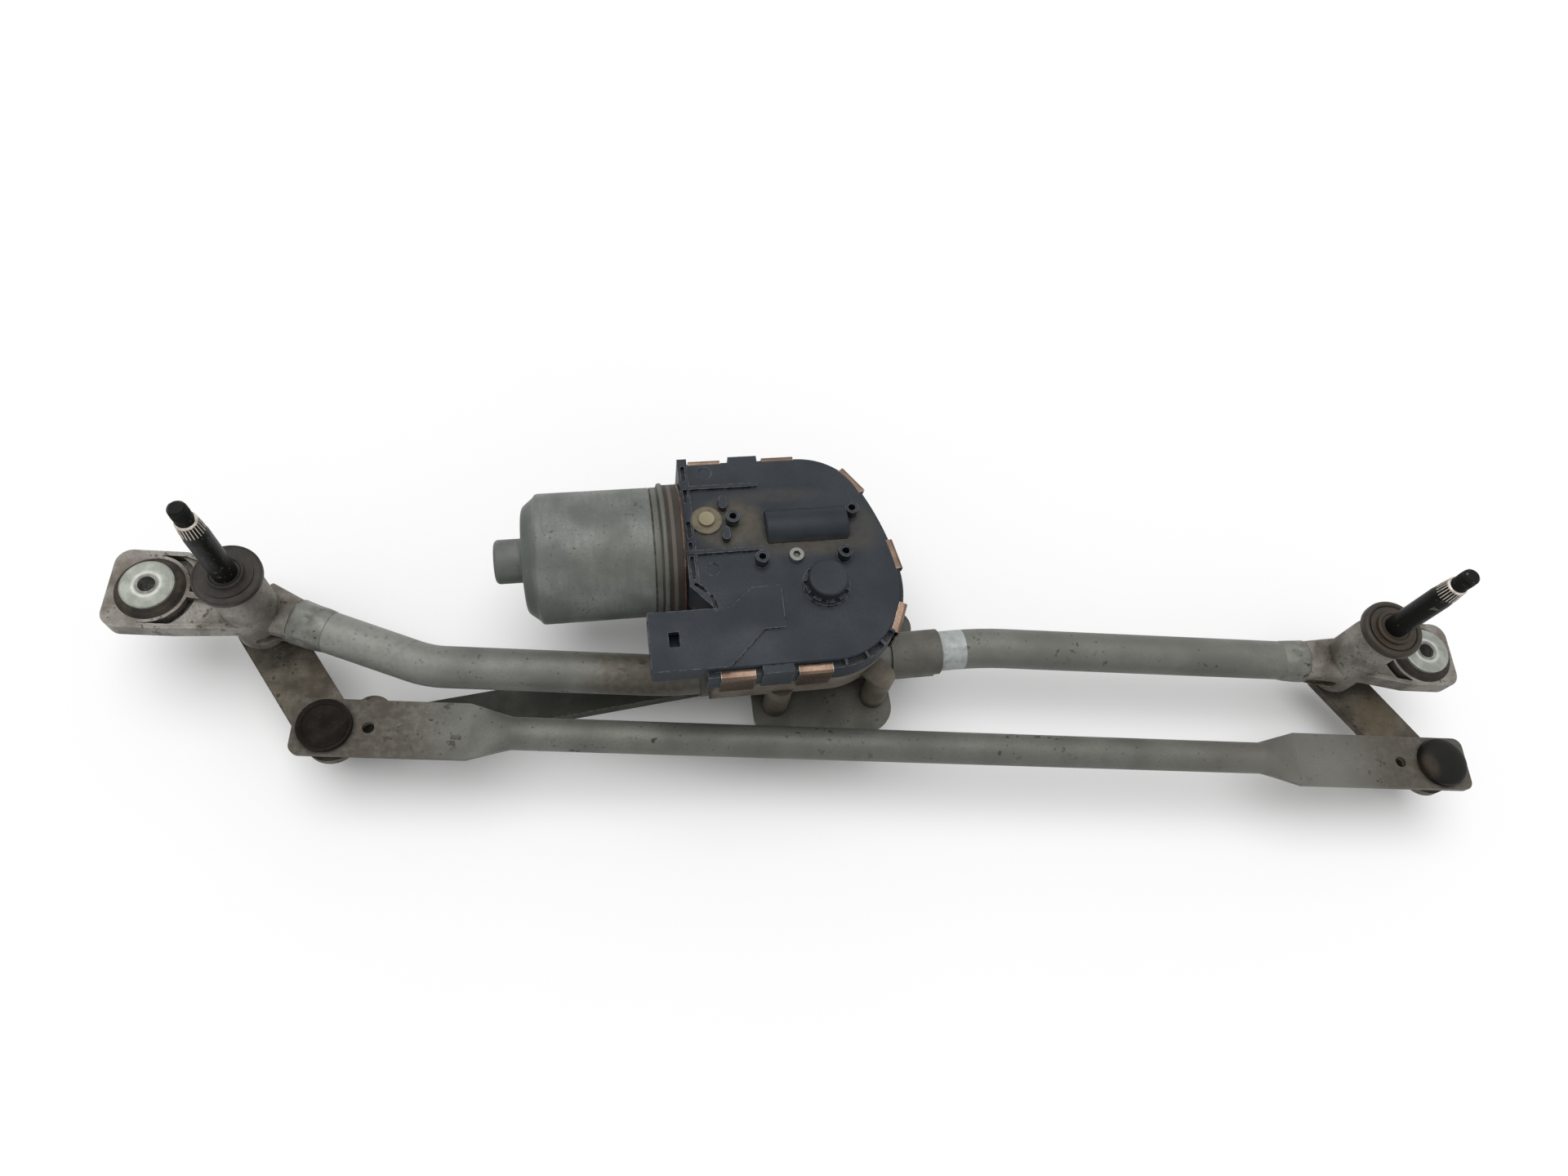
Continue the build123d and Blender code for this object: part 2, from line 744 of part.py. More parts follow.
# Output shaft, bush and worm wheel
shaft_top = motor_z + wheel_thickness / 2 + 3
output_shaft = turned(
    output_at,
    [
        (0, arm_bottom - nut_height - 2),
        (shaft_thread_radius - 0.8, arm_bottom - nut_height - 2),
        (shaft_thread_radius, arm_bottom - nut_height - 1),
        (shaft_thread_radius, arm_bottom),
        (shaft_radius, arm_bottom),
        (shaft_radius, shaft_top),
        (0, shaft_top),
    ],
)
keep(output_shaft, "output_shaft")
boss_bottom = plate_top + 1
bush_top = motor_z - wheel_thickness / 2 - 3
output_bush = turned(
    output_at,
    ring_profile(
        shaft_radius + running_clearance, shaft_radius + bush_wall, boss_bottom, bush_top
    ),
)
keep(output_bush, "output_bush")
wheel_root = wheel_radius - dedendum
with BuildPart() as wheel_tooth:
    with BuildSketch(Plane((0, 0, 0), x_dir=(1, 0, 0), z_dir=(0, sin(worm_lead), cos(worm_lead)))):
        with BuildLine():
            Polyline(*tooth_section(wheel_root), close=True)
        make_face()
    extrude(amount=wheel_thickness / 2 + 1, both=True)
wheel_level = station(*output_at, motor_z, motor_turn + 90)
with BuildPart(wheel_level) as worm_wheel:
    with BuildSketch(wheel_level.offset(-wheel_thickness / 2)):
        Circle(wheel_root)
    extrude(amount=wheel_thickness)
    with PolarLocations(0, wheel_teeth):
        add(wheel_tooth.part)
    with BuildSketch(wheel_level.offset(-wheel_thickness / 2)):
        Circle(wheel_radius + 2 * addendum)
        Circle(shaft_radius, mode=Mode.SUBTRACT)
    extrude(amount=wheel_thickness, mode=Mode.INTERSECT)
    with BuildSketch(wheel_level.offset(wheel_thickness / 2 - wheel_recess)):
        Circle(wheel_radius - wheel_rim)
        Circle(shaft_radius + wheel_hub, mode=Mode.SUBTRACT)
    extrude(amount=wheel_recess, mode=Mode.SUBTRACT)
keep(worm_wheel, "worm_wheel")


# The D outline that the gear housing and its cover share, in the motor's frame
with BuildLine() as cover_edge:
    back_edge = Line((cover_left, cover_back), (-5, cover_back))
    shoulder = TangentArc(
        back_edge @ 1, (27, cover_back - 20.5), tangent=back_edge % 1
    )
    side_edge = TangentArc(shoulder @ 1, (cover_right, 8), tangent=shoulder % 1)
    hip = TangentArc(side_edge @ 1, (cover_right - 6, -24), tangent=side_edge % 1)
    corner = TangentArc(hip @ 1, (0, cover_front), tangent=hip % 1)
    front_edge = Line(corner @ 1, (notch[0], cover_front))
    Polyline(
        front_edge @ 1,
        notch,
        (notch[0] + 6.5, notch[1]),
        (cover_left, 2.5),
        (cover_left, cover_back),
    )


def cover_outline(plane, inset=0.0):
    """A face of the D outline, or one set in from it, on a level plane."""
    with BuildSketch(plane) as outline:
        add(cover_edge.line)
        make_face()
        if inset:
            offset(amount=-inset, kind=Kind.INTERSECTION, mode=Mode.REPLACE)
    return outline.sketch


# Gear housing
worm_tunnel_radius = 9.8
tunnel_bore_radius = 7.2
tunnel_web = 8.0
wheel_pocket_radius = wheel_radius + gear_module + 1
flange_face = can_end + rim_thickness
neck_end = cover_left - 0.5
neck_bore_radius = can_radius - can_wall - 4
bearing_radius = 8.0
bearing_length = 6.0
bearing_face = flange_face + 4.5
tunnel_end = 30.0
with BuildPart() as gear_housing:
    extrude(
        cover_outline(motor_level(housing_bottom), housing_inset),
        amount=housing_top - housing_bottom,
    )
    extrude(cover_outline(motor_level(housing_top - 4)), amount=4)
    extrude(
        cover_outline(
            motor_level(housing_bottom + housing_wall), housing_inset + housing_wall
        ),
        amount=housing_top - housing_bottom,
        mode=Mode.SUBTRACT,
    )
    with BuildSketch(motor_level(housing_bottom)):
        Circle(wheel_pocket_radius + housing_wall)
    extrude(amount=housing_top - 2 - housing_bottom)
    with BuildSketch(motor_level(boss_bottom)):
        Circle(boss_radius)
    extrude(amount=housing_bottom - boss_bottom)
    with BuildSketch(motor_level(plate_top)):
        with Locations(*feet):
            Circle(foot_radius)
    extrude(amount=housing_bottom + housing_wall - plate_top)
    for foot in feet:
        with BuildSketch(motor_level(housing_bottom)):
            with Locations(foot, (foot[0] * 0.6, foot[1] * 0.6)):
                Circle(foot_radius)
            make_hull()
        extrude(amount=housing_wall)
    with BuildSketch(across_motor(flange_face)):
        Circle(can_radius + 1)
    extrude(amount=neck_end - flange_face)
    with BuildSketch(across_motor(neck_end)):
        with Locations((0, (housing_bottom + housing_top) / 2 - motor_z)):
            Rectangle(2 * can_radius - 10, housing_top - housing_bottom)
    extrude(amount=5)
    with BuildSketch(across_motor(neck_end)):
        Circle(worm_tunnel_radius)
        with Locations((0, (housing_bottom - motor_z) / 2)):
            Rectangle(tunnel_web, motor_z - housing_bottom)
    extrude(amount=tunnel_end - neck_end)
    with BuildSketch(across_motor(flange_face)):
        Circle(neck_bore_radius)
    extrude(amount=bearing_face - flange_face, mode=Mode.SUBTRACT)
    with BuildSketch(across_motor(bearing_face)):
        Circle(bearing_radius)
    extrude(amount=bearing_length, mode=Mode.SUBTRACT)
    with BuildSketch(across_motor(bearing_face)):
        Circle(tunnel_bore_radius)
    extrude(amount=tunnel_end - 6 - bearing_face, mode=Mode.SUBTRACT)
    with BuildSketch(across_motor(tunnel_end - 6)):
        Circle(armature_shaft_radius + running_clearance)
    extrude(amount=4, mode=Mode.SUBTRACT)
    with BuildSketch(motor_level(motor_z - wheel_thickness / 2 - 1.5)):
        Circle(wheel_pocket_radius)
    extrude(amount=housing_top, mode=Mode.SUBTRACT)
    with BuildSketch(motor_level(boss_bottom)):
        Circle(shaft_radius + bush_wall)
    extrude(amount=housing_top, mode=Mode.SUBTRACT)
    with BuildSketch(motor_level(plate_top)):
        with Locations(*feet):
            Circle(bolt_radius)
    extrude(amount=bolt_depth, mode=Mode.SUBTRACT)
keep(gear_housing, "gear_housing")

# Motor can and what it holds
inner = can_radius - can_wall
rim_radius = can_radius + rim_width
dome_flat_radius = can_radius - dome_slope
armature_radius = inner - magnet_thickness - air_gap
dome_end = can_start - can_dome
nub_end = dome_end - nub_length
motor_axis = Axis(along_motor().origin, along_motor().x_dir)
with BuildPart() as motor_can:
    with BuildSketch(along_motor()):
        with BuildLine():
            outer = FilletPolyline(
                (nub_end, 0),
                (nub_end, nub_radius),
                (dome_end, nub_radius),
                (dome_end, dome_flat_radius),
                (can_start - 1.5, can_radius - 2),
                (can_start, can_radius),
                (can_groove_at, can_radius),
                (can_groove_at, can_radius - can_groove),
                (can_groove_at + can_groove, can_radius - can_groove),
                (can_groove_at + can_groove, can_radius),
                (can_end, can_radius),
                (can_end, rim_radius),
                (flange_face, rim_radius),
                (flange_face, inner),
                radius=[2.5, 2.5, 5, 1, 2.5, 0.1, 0.1, 0.1, 0.1, 0.6, 0.9, 0.9],
            )
            Line(outer @ 1, (can_start + 1, inner))
            inside = FilletPolyline(
                (can_start + 1, inner),
                (can_start, inner - 2),
                (dome_end + can_wall, dome_flat_radius - can_wall),
                (dome_end + can_wall, nub_radius - can_wall),
                (nub_end + can_wall, nub_radius - can_wall),
                (nub_end + can_wall, 0),
                radius=[1, 3, 0.5, 0.5],
            )
            Line(inside @ 1, outer @ 0)
        make_face()
    revolve(axis=motor_axis)
keep(motor_can, "motor_can")
core_centre = (can_start + can_end) / 2 - 2
with BuildPart() as magnets:
    with BuildSketch(across_motor(core_centre - core_length / 2 - 3)):
        Circle(inner)
        Circle(inner - magnet_thickness, mode=Mode.SUBTRACT)
        Rectangle(2 * can_radius, magnet_gap, mode=Mode.SUBTRACT)
    extrude(amount=core_length + 6)
keep(magnets, "magnets")
with BuildPart() as armature_core:
    with BuildSketch(across_motor(core_centre - core_length / 2)):
        Circle(armature_radius)
        with PolarLocations(armature_radius, core_slots):
            Rectangle(14, 2.2, mode=Mode.SUBTRACT)
        Circle(armature_shaft_radius, mode=Mode.SUBTRACT)
    extrude(amount=core_length)
keep(armature_core, "armature_core")
with BuildPart() as windings:
    for start in (core_centre - core_length / 2 - 6, core_centre + core_length / 2):
        with BuildSketch(across_motor(start)):
            Circle(armature_radius - 3)
            Circle(armature_shaft_radius, mode=Mode.SUBTRACT)
        extrude(amount=6)
keep(windings, "windings")
commutator_start = core_centre + core_length / 2 + 6
commutator_length = 12.0
commutator = turned_on_motor(
    ring_profile_along(
        armature_shaft_radius, 10.5, commutator_start, commutator_start + commutator_length
    )
)
keep(commutator, "commutator")
shaft_start = nub_end + can_wall + 1
armature_shaft = turned_on_motor(
    [
        (shaft_start, 0),
        (shaft_start, armature_shaft_radius),
        (-worm_half_length, armature_shaft_radius),
        (-worm_half_length, worm_spigot_radius),
        (spigot_end, worm_spigot_radius),
        (spigot_end, 0),
    ]
)
keep(armature_shaft, "armature_shaft")

# Worm, pressed into the end of the armature shaft, with its own journal
plain_worm = turned_on_motor(
    [
        (spigot_end, 0),
        (spigot_end, worm_spigot_radius),
        (-worm_half_length, worm_spigot_radius),
        (-worm_half_length, worm_root_radius),
        (worm_half_length, worm_root_radius),
        (worm_half_length, armature_shaft_radius),
        (tunnel_end - 3, armature_shaft_radius),
        (tunnel_end - 2.4, 0),
    ]
)
with BuildPart() as worm_thread:
    with BuildLine():
        helix = Helix(
            worm_pitch,
            thread_turns * worm_pitch,
            worm_root_radius,
            center=(-thread_turns / 2 * worm_pitch, 0, 0),
            direction=(1, 0, 0),
        )
    with BuildSketch(Plane(helix @ 0, x_dir=(0, 0, 1), z_dir=helix % 0)):
        with BuildLine():
            Polyline(*tooth_section(0), close=True)
        make_face()
    sweep(path=helix, is_frenet=True)
with BuildPart() as worm:
    add(plain_worm.part)
    with Locations(along_motor().location):
        add(worm_thread.part)
keep(worm, "worm")
journal = armature_shaft_radius + running_clearance
rear_bearing = turned_on_motor(
    ring_profile_along(
        journal, nub_radius - can_wall, nub_end + can_wall + 2, dome_end + 1
    )
)
keep(rear_bearing, "rear_bearing")
front_bearing = turned_on_motor(
    ring_profile_along(
        journal, bearing_radius, bearing_face, bearing_face + bearing_length
    )
)
keep(front_bearing, "front_bearing")
brush_plate = flange_face
with BuildPart() as brush_holder:
    with BuildSketch(across_motor(brush_plate)):
        Circle(neck_bore_radius)
        Circle(14, mode=Mode.SUBTRACT)
    extrude(amount=3)
    with BuildSketch(across_motor(brush_plate)):
        with Locations((-21.5, 0), (21.5, 0)):
            Rectangle(15, 9)
            Rectangle(15, 6, mode=Mode.SUBTRACT)
    extrude(amount=-8)
keep(brush_holder, "brush_holder")
with BuildPart() as brushes:
    with BuildSketch(across_motor(brush_plate)):
        with Locations((-17.3, 0), (17.3, 0)):
            Rectangle(13, 6)
    extrude(amount=-7)
keep(brushes, "brushes")

# Electronics cover with its connector shroud
mouth_z = (shroud_bottom + cover_top) / 2
shroud_centre_v = (shroud_back + shroud_front) / 2
shroud_width = shroud_back - shroud_front
shroud_end = shroud_left + shroud_depth
shroud_right = notch[0] + shroud_overlap
hump_z = hump_top - hump_radius
collar_step = 1.2  # of the rings round the contact and under the cap
with BuildPart() as electronics_cover:
    extrude(cover_outline(motor_level(housing_top)), amount=ledge_z - housing_top)
    extrude(cover_outline(motor_level(ledge_z), ledge_width), amount=ledge_depth)
    fillet(faces().sort_by(Axis.Z)[-1].edges(), radius=plate_edge)
    with BuildSketch(motor_level(shroud_bottom)):
        with Locations(((shroud_left + shroud_right) / 2, shroud_centre_v)):
            Rectangle(shroud_right - shroud_left, shroud_width)
    extrude(amount=cover_top - shroud_bottom)
    with BuildSketch(motor_level(ledge_z)):
        with BuildLine():
            Polyline(
                (cover_left, cover_back),
                (cover_left + rail_width, cover_back),
                (cover_left + rail_width, 4),
                (notch[0] + 10.5, notch[1]),
                (notch[0] + 6.5, notch[1]),
                (cover_left, 2.5),
                close=True,
            )
        make_face()
    extrude(amount=ledge_depth + rail_height)
    with BuildSketch(motor_level(cover_top)):
        with BuildLine():
            Polyline(
                (shroud_left, shroud_back),
                (-50, shroud_back),
                (-38, -0.5),
                (-23, 0),
                (-23.5, -23.5),
                (-34, -23.5),
                (-53, shroud_front),
                (shroud_left, shroud_front),
                close=True,
            )
        make_face()
    extrude(amount=raised_step)
    for (start, end), edge, way in (
        (back_lug, cover_back, 1),
        (front_lug, cover_front, -1),
    ):
        with BuildSketch(motor_level(housing_top)):
            with Locations(
                ((start + end) / 2, edge + way * (lug_reach - ledge_width) / 2)
            ):
                Rectangle(end - start, ledge_width + lug_reach)
        extrude(amount=cover_top - 1 - housing_top)
    with BuildSketch(across_motor(hump_start, hump_v, hump_z)):
        Circle(hump_radius)
    extrude(amount=hump_length)
    fillet(
        edges().filter_by(GeomType.CIRCLE).filter_by(
            lambda edge: abs(edge.radius - hump_radius) < 0.01
        ),
        radius=1.5,
    )
    with BuildSketch(motor_level(cover_top)):
        with Locations(*cover_posts):
            Circle(post_radius)
    extrude(amount=post_height)
    with BuildSketch(motor_level(cover_top)):
        with Locations((-47.5, 47.8), (-47.5, 29.8)):
            SlotOverall(7.5, 4, rotation=90)
    extrude(amount=4)
    with BuildSketch(motor_level(cover_top)):
        with Locations((-48, 58.6), (-49, 21)):
            SlotOverall(40, 2.2)
    extrude(amount=1.6)
    with BuildSketch(motor_level(cover_top)):
        with Locations(contact_at):
            Circle(contact_radius + 4)
        with Locations(plug_at):
            Circle(plug_radius + 2)
    extrude(amount=collar_step)
    extrude(
        cover_outline(motor_level(housing_top), cover_wall),
        amount=ledge_z - cover_skin - housing_top,
        mode=Mode.SUBTRACT,
    )
    extrude(
        cover_outline(motor_level(ledge_z - cover_skin), cover_wall + ledge_width),
        amount=ledge_depth,
        mode=Mode.SUBTRACT,
    )
    with BuildSketch(across_motor(cover_left)):
        Circle(worm_tunnel_radius + 0.2)
    extrude(amount=cover_wall + 1, mode=Mode.SUBTRACT)
    with BuildSketch(across_motor(hump_start + cover_wall, hump_v, hump_z)):
        Circle(hump_radius - cover_wall)
    extrude(amount=hump_length - 2 * cover_wall, mode=Mode.SUBTRACT)
    with BuildSketch(across_motor(shroud_left, shroud_centre_v, mouth_z)):
        RectangleRounded(
            shroud_width - 2 * shroud_wall,
            cover_top - shroud_bottom - 2 * shroud_wall,
            2,
        )
    extrude(amount=shroud_depth, mode=Mode.SUBTRACT)
    with BuildSketch(motor_level(mouth_z)):
        with Locations(window_at):
            Rectangle(*window_size)
    extrude(amount=cover_top, mode=Mode.SUBTRACT)
    with BuildSketch(across_motor(shroud_end, shroud_centre_v, mouth_z)):
        with GridLocations(pin_pitch, pin_rows_apart, pin_columns, 2):
            Rectangle(pin_size, pin_size)
    extrude(amount=10, mode=Mode.SUBTRACT)
    with BuildSketch(motor_level(cover_top + post_height)):
        with Locations(*cover_posts):
            Circle(post_radius - 1.6)
    extrude(amount=-post_height, mode=Mode.SUBTRACT)
    with BuildSketch(motor_level(board_top)):
        with Locations(*cover_posts):
            Circle(post_radius - 0.5)
    extrude(amount=cover_top - cover_skin - board_top)
    with BuildSketch(motor_level(cover_top + rail_height)):
        for v, length in rail_slots:
            with Locations((cover_left + rail_width / 2, v)):
                SlotOverall(length, slot_width, rotation=90)
        for u, v, length, turn in long_slots:
            with Locations((u, v)):
                SlotOverall(length, slot_width, rotation=turn)
    extrude(amount=-slot_depth, mode=Mode.SUBTRACT)
    with BuildSketch(motor_level(cover_top)):
        with Locations(*knock_outs):
            Circle(knock_out_radius)
    extrude(amount=-slot_depth / 4, mode=Mode.SUBTRACT)
    with BuildSketch(motor_level(housing_top)):
        with Locations(contact_at):
            Circle(contact_radius)
        with Locations(plug_at):
            Circle(plug_radius - 3)
        with Locations(cover_screw_at):
            Circle(screw_shank_radius)
    extrude(amount=cover_top, mode=Mode.SUBTRACT)
    for fraction in skirt_ribs:
        point, direction = corner @ fraction, corner % fraction
        level = motor_level(ledge_z, point.X, point.Y)
        with BuildSketch(level):
            with Locations(
                Location((0, 0, 0), (0, 0, degrees(atan2(direction.Y, direction.X))))
            ):
                with Locations((0, -ledge_width / 2)):
                    Rectangle(1.2, ledge_width)
        extrude(amount=ledge_depth - 1)
keep(electronics_cover, "electronics_cover")

with BuildPart() as connector_pins:
    with BuildSketch(
        across_motor(shroud_end - pin_length, shroud_centre_v, mouth_z)
    ):
        with GridLocations(pin_pitch, pin_rows_apart, pin_columns, 2):
            Rectangle(pin_size, pin_size)
    extrude(amount=pin_length + 10)
keep(connector_pins, "connector_pins")

with BuildPart() as circuit_board:
    extrude(
        cover_outline(motor_level(board_bottom), cover_wall + 0.5),
        amount=board_thickness,
    )
    with BuildSketch(motor_level(board_bottom)):
        with Locations(contact_at):
            Circle(contact_radius)
        with Locations(cover_screw_at):
            Circle(screw_shank_radius)
    extrude(amount=board_thickness, mode=Mode.SUBTRACT)
keep(circuit_board, "circuit_board")

with BuildPart() as capacitor:
    with BuildSketch(across_motor(hump_start + 4, hump_v, hump_z)):
        Circle(hump_radius - cover_wall - 0.3)
    extrude(amount=hump_length - 8)
keep(capacitor, "capacitor")

with BuildPart() as round_cap:
    with BuildSketch(motor_level(cover_top + collar_step)):
        with Locations(plug_at):
            Circle(plug_radius)
    extrude(amount=plug_height)
    fillet(edges().sort_by(Axis.Z)[-1], radius=1.4)
    with BuildSketch(motor_level(cover_top + collar_step)):
        with Locations(plug_at):
            Circle(plug_radius + 1.4)
            with PolarLocations(plug_radius + 1.4, 10):
                Rectangle(3, 3, mode=Mode.SUBTRACT)
    extrude(amount=2.4)
    with BuildSketch(motor_level(cover_top + collar_step)):
        with Locations(plug_at):
            Circle(plug_radius - 3)
    extrude(amount=-5)
keep(round_cap, "round_cap")

with BuildPart() as cover_screw:
    with BuildSketch(motor_level(cover_top)):
        with Locations(cover_screw_at):
            Circle(3.7)
    extrude(amount=2.6)
    with BuildSketch(motor_level(board_bottom)):
        with Locations(cover_screw_at):
            Circle(screw_shank_radius)
    extrude(amount=cover_top - board_bottom)
    with BuildSketch(motor_level(cover_top + 2.6)):
        with Locations(cover_screw_at):
            RegularPolygon(2, 6)
    extrude(amount=-1.5, mode=Mode.SUBTRACT)
keep(cover_screw, "cover_screw")

with BuildPart() as contact_pin:
    with BuildSketch(motor_level(board_bottom)):
        with Locations(contact_at):
            Circle(contact_radius)
    extrude(amount=cover_top + 3 - board_bottom)
keep(contact_pin, "contact_pin")

# Spring clips that hold the cover's edge to the housing's rim
clip_places = [
    (back_edge, 0.23),
    (back_edge, 0.85),
    (shoulder, 0.85),
    (side_edge, 0.85),
    (hip, 0.9),
    (front_edge, 0.17),
    (front_edge, 0.77),
]
clip_bottom = housing_top - 4
bead_foot = ledge_z - clip_bead_height
with BuildPart() as cover_clips:
    for edge, fraction in clip_places:
        point, direction = edge @ fraction, edge % fraction
        level = motor_level(0, point.X, point.Y)
        outward = level.y_dir * direction.X - level.x_dir * direction.Y
        section = Plane(
            origin=level.origin, x_dir=outward, z_dir=outward.cross(level.z_dir)
        )
        with BuildSketch(section):
            with BuildLine():
                outside = FilletPolyline(
                    (-clip_foot, clip_bottom - clip_gauge),
                    (clip_gauge, clip_bottom - clip_gauge),
                    (clip_gauge, bead_foot - clip_bead),
                    (clip_bead + clip_gauge, bead_foot),
                    (clip_bead + clip_gauge, ledge_z + clip_gauge),
                    (-ledge_width + ball_gap, ledge_z + clip_gauge),
                    radius=[0.7, 1.2, 1.2, 1.5],
                )
                inside = FilletPolyline(
                    (-ledge_width + ball_gap, ledge_z),
                    (clip_bead, ledge_z),
                    (clip_bead, bead_foot + clip_bead / 3),
                    (0, bead_foot - 2 * clip_bead / 3),
                    (0, clip_bottom),
                    (-clip_foot, clip_bottom),
                    radius=[0.7, 0.6, 0.6, 0.01],
                )
                Line(outside @ 1, inside @ 0)
                Line(inside @ 1, outside @ 0)
            make_face()
        extrude(amount=clip_width / 2, both=True)
        with BuildSketch(section.rotated((0, 90, 0)).offset(-2 * clip_gauge)):
            with Locations((0, clip_bottom + nib_height)):
                SlotOverall(nib_length, nib_width)
        extrude(amount=4 * clip_gauge, mode=Mode.SUBTRACT)
keep(cover_clips, "cover_clips")

# Carrier plate with collars round the frame tube
slope_start, slope_end = Vector(*tube_route[2]), Vector(*tube_route[3])
slope = (slope_end - slope_start).normalized()
with BuildPart() as carrier_plate:
    with BuildSketch(motor_level(plate_bottom)):
        with Locations(
            ((plate_left + plate_right) / 2, (plate_front + plate_back) / 2)
        ):
            RectangleRounded(
                plate_right - plate_left, plate_back - plate_front, plate_corner
            )
        with Locations(peg_at):
            Circle(peg_radius + 7)
        with Locations((peg_at[0], (peg_at[1] + plate_back) / 2 - 5)):
            Rectangle(2 * peg_radius + 14, peg_at[1] - plate_back + 10)
        for side in (plate_left, plate_right):
            with Locations((side, tube_v)):
                Rectangle(2 * collar_length, 1.5 * tube_radius)
    extrude(amount=plate_thickness)
    for side in (plate_left - collar_length, plate_right):
        start = Vector(*motor_point(side, tube_v))
        on_tube = slope_start + slope * (start - slope_start).dot(slope)
        collar_plane = Plane(
            origin=station(on_tube.X, on_tube.Y, tube_z).origin, z_dir=slope
        )
        with BuildSketch(collar_plane):
            Circle(tube_radius + collar_wall)
        extrude(amount=collar_length)
        with BuildSketch(collar_plane):
            Circle(tube_radius)
        extrude(amount=collar_length, mode=Mode.SUBTRACT)
    with BuildSketch(motor_level(plate_bottom)):
        Circle(boss_radius + 1)
        with Locations(*feet):
            Circle(bolt_radius + 0.3)
        with Locations(peg_at):
            Circle(peg_radius)
    extrude(amount=plate_thickness, mode=Mode.SUBTRACT)
keep(carrier_plate, "carrier_plate")

# Rear locating peg and its rubber
peg_place = motor_point(*peg_at)
rear_peg = turned(
    peg_place,
    [
        (0, rest_z + 4),
        (peg_radius, rest_z + 4),
        (peg_radius, plate_top),
        (peg_radius + 2, plate_top),
        (peg_radius + 1, plate_top + 1.6),
        (0, plate_top + 1.6),
    ],
)
keep(rear_peg, "rear_peg")
rear_peg_rubber = turned(
    peg_place,
    [
        (0, rest_z),
        (peg_rubber_radius - 2, rest_z),
        (peg_rubber_radius, rest_z + 2),
        (peg_rubber_radius, plate_bottom - 7),
        (peg_rubber_radius + 2.5, plate_bottom - 5),
        (peg_rubber_radius + 2.5, plate_bottom),
        (peg_radius, plate_bottom),
        (peg_radius, rest_z + 4),
        (0, rest_z + 4),
    ],
)
keep(rear_peg_rubber, "rear_peg_rubber")

# Screws from below that hold the gear housing's feet to the carrier plate
with BuildPart() as motor_bolts:
    with BuildSketch(motor_level(plate_bottom - bolt_head_height)):
        with Locations(*feet):
            RegularPolygon(bolt_head_radius - 1, 6)
    extrude(amount=bolt_head_height - 0.8)
    with BuildSketch(motor_level(plate_bottom - 0.8)):
        with Locations(*feet):
            Circle(bolt_head_radius)
    extrude(amount=0.8)
    with BuildSketch(motor_level(plate_bottom)):
        with Locations(*feet):
            Circle(bolt_radius)
    extrude(amount=plate_thickness + bolt_depth - 1)
keep(motor_bolts, "motor_bolts")
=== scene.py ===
"""Looks of a windshield wiper motor with its tubular frame and rod linkage.

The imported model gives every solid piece. This script gives them their finishes, adds the knurls,
threads, crimped sleeves, lips and rings that are too fine for the solids, and sets floor, light
and camera.
"""

from __future__ import annotations

import json
import logging
import math
from collections.abc import Callable
from dataclasses import dataclass, field
from enum import Enum

import bmesh
import bpy
from mathutils import Matrix, Vector

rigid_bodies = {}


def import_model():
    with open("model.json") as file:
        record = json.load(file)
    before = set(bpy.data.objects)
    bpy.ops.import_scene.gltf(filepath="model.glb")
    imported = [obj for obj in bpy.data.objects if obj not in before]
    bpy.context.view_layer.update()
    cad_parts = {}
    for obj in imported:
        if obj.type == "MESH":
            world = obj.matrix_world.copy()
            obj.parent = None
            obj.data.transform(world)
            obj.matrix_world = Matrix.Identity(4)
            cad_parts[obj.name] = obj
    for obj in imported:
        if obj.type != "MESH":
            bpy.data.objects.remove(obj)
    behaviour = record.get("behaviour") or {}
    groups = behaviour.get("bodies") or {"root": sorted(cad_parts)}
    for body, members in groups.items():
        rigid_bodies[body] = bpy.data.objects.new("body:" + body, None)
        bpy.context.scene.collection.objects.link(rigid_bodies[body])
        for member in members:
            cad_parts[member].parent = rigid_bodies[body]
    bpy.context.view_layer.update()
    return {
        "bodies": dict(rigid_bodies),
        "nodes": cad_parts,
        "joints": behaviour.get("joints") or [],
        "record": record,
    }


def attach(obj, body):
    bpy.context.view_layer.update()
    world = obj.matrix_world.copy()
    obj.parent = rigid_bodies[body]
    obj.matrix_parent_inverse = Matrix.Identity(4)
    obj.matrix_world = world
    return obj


LOG = logging.getLogger("wiper_motor")
Colour = tuple[float, float, float]
Point = tuple[float, float, float]
Profile = list[tuple[float, float]]

# Places in plan, heights and the motor's turn, in the part's frame, in metres and radians.
LEFT_SPINDLE = (0.0486, -0.0061)
RIGHT_SPINDLE = (0.6486, -0.0061)
LEFT_BALL = (0.0926, -0.0646)
RIGHT_BALL = (0.6926, -0.0646)
LEFT_MOUNT = (0.0, 0.0)
RIGHT_MOUNT = (0.6872, -0.0053)
LEVER_Z = -0.018
OUTPUT = (0.3391, 0.0014)
MOTOR_TURN = math.radians(7.5)
FLOOR_Z = -0.048
UPWARD = (0.0, 0.0, 1.0)
# A stain's size along an axis on which it has no end.
ANY = 10.0
# Where a noise or a mask begins to show, and where it is full.
CLOUD_BAND = (0.32, 0.68)
GRAIN_BAND = (0.35, 0.75)
STREAK_BAND = (0.42, 0.70)
CLUSTER_BAND = (0.50, 0.60)
BLOT_BAND = (0.625, 0.67)
SPECK_BAND = (0.07, 0.14)
STAIN_BAND = (0.30, 0.62)
DIRT_AND_SHADE_BAND = (0.20, 0.65)
CORNER_BAND = (0.12, 0.60)
WEAR_AND_HIGHLIGHT_BAND = (0.38, 0.60)
EDGE_BAND = (0.015, 0.16)
# Features per metre of the noises that are alike on every finish.
STAIN_SCALE = 310.0
DIRT_AND_SHADE_SCALE = 170.0
WEAR_AND_HIGHLIGHT_SCALE = 420.0
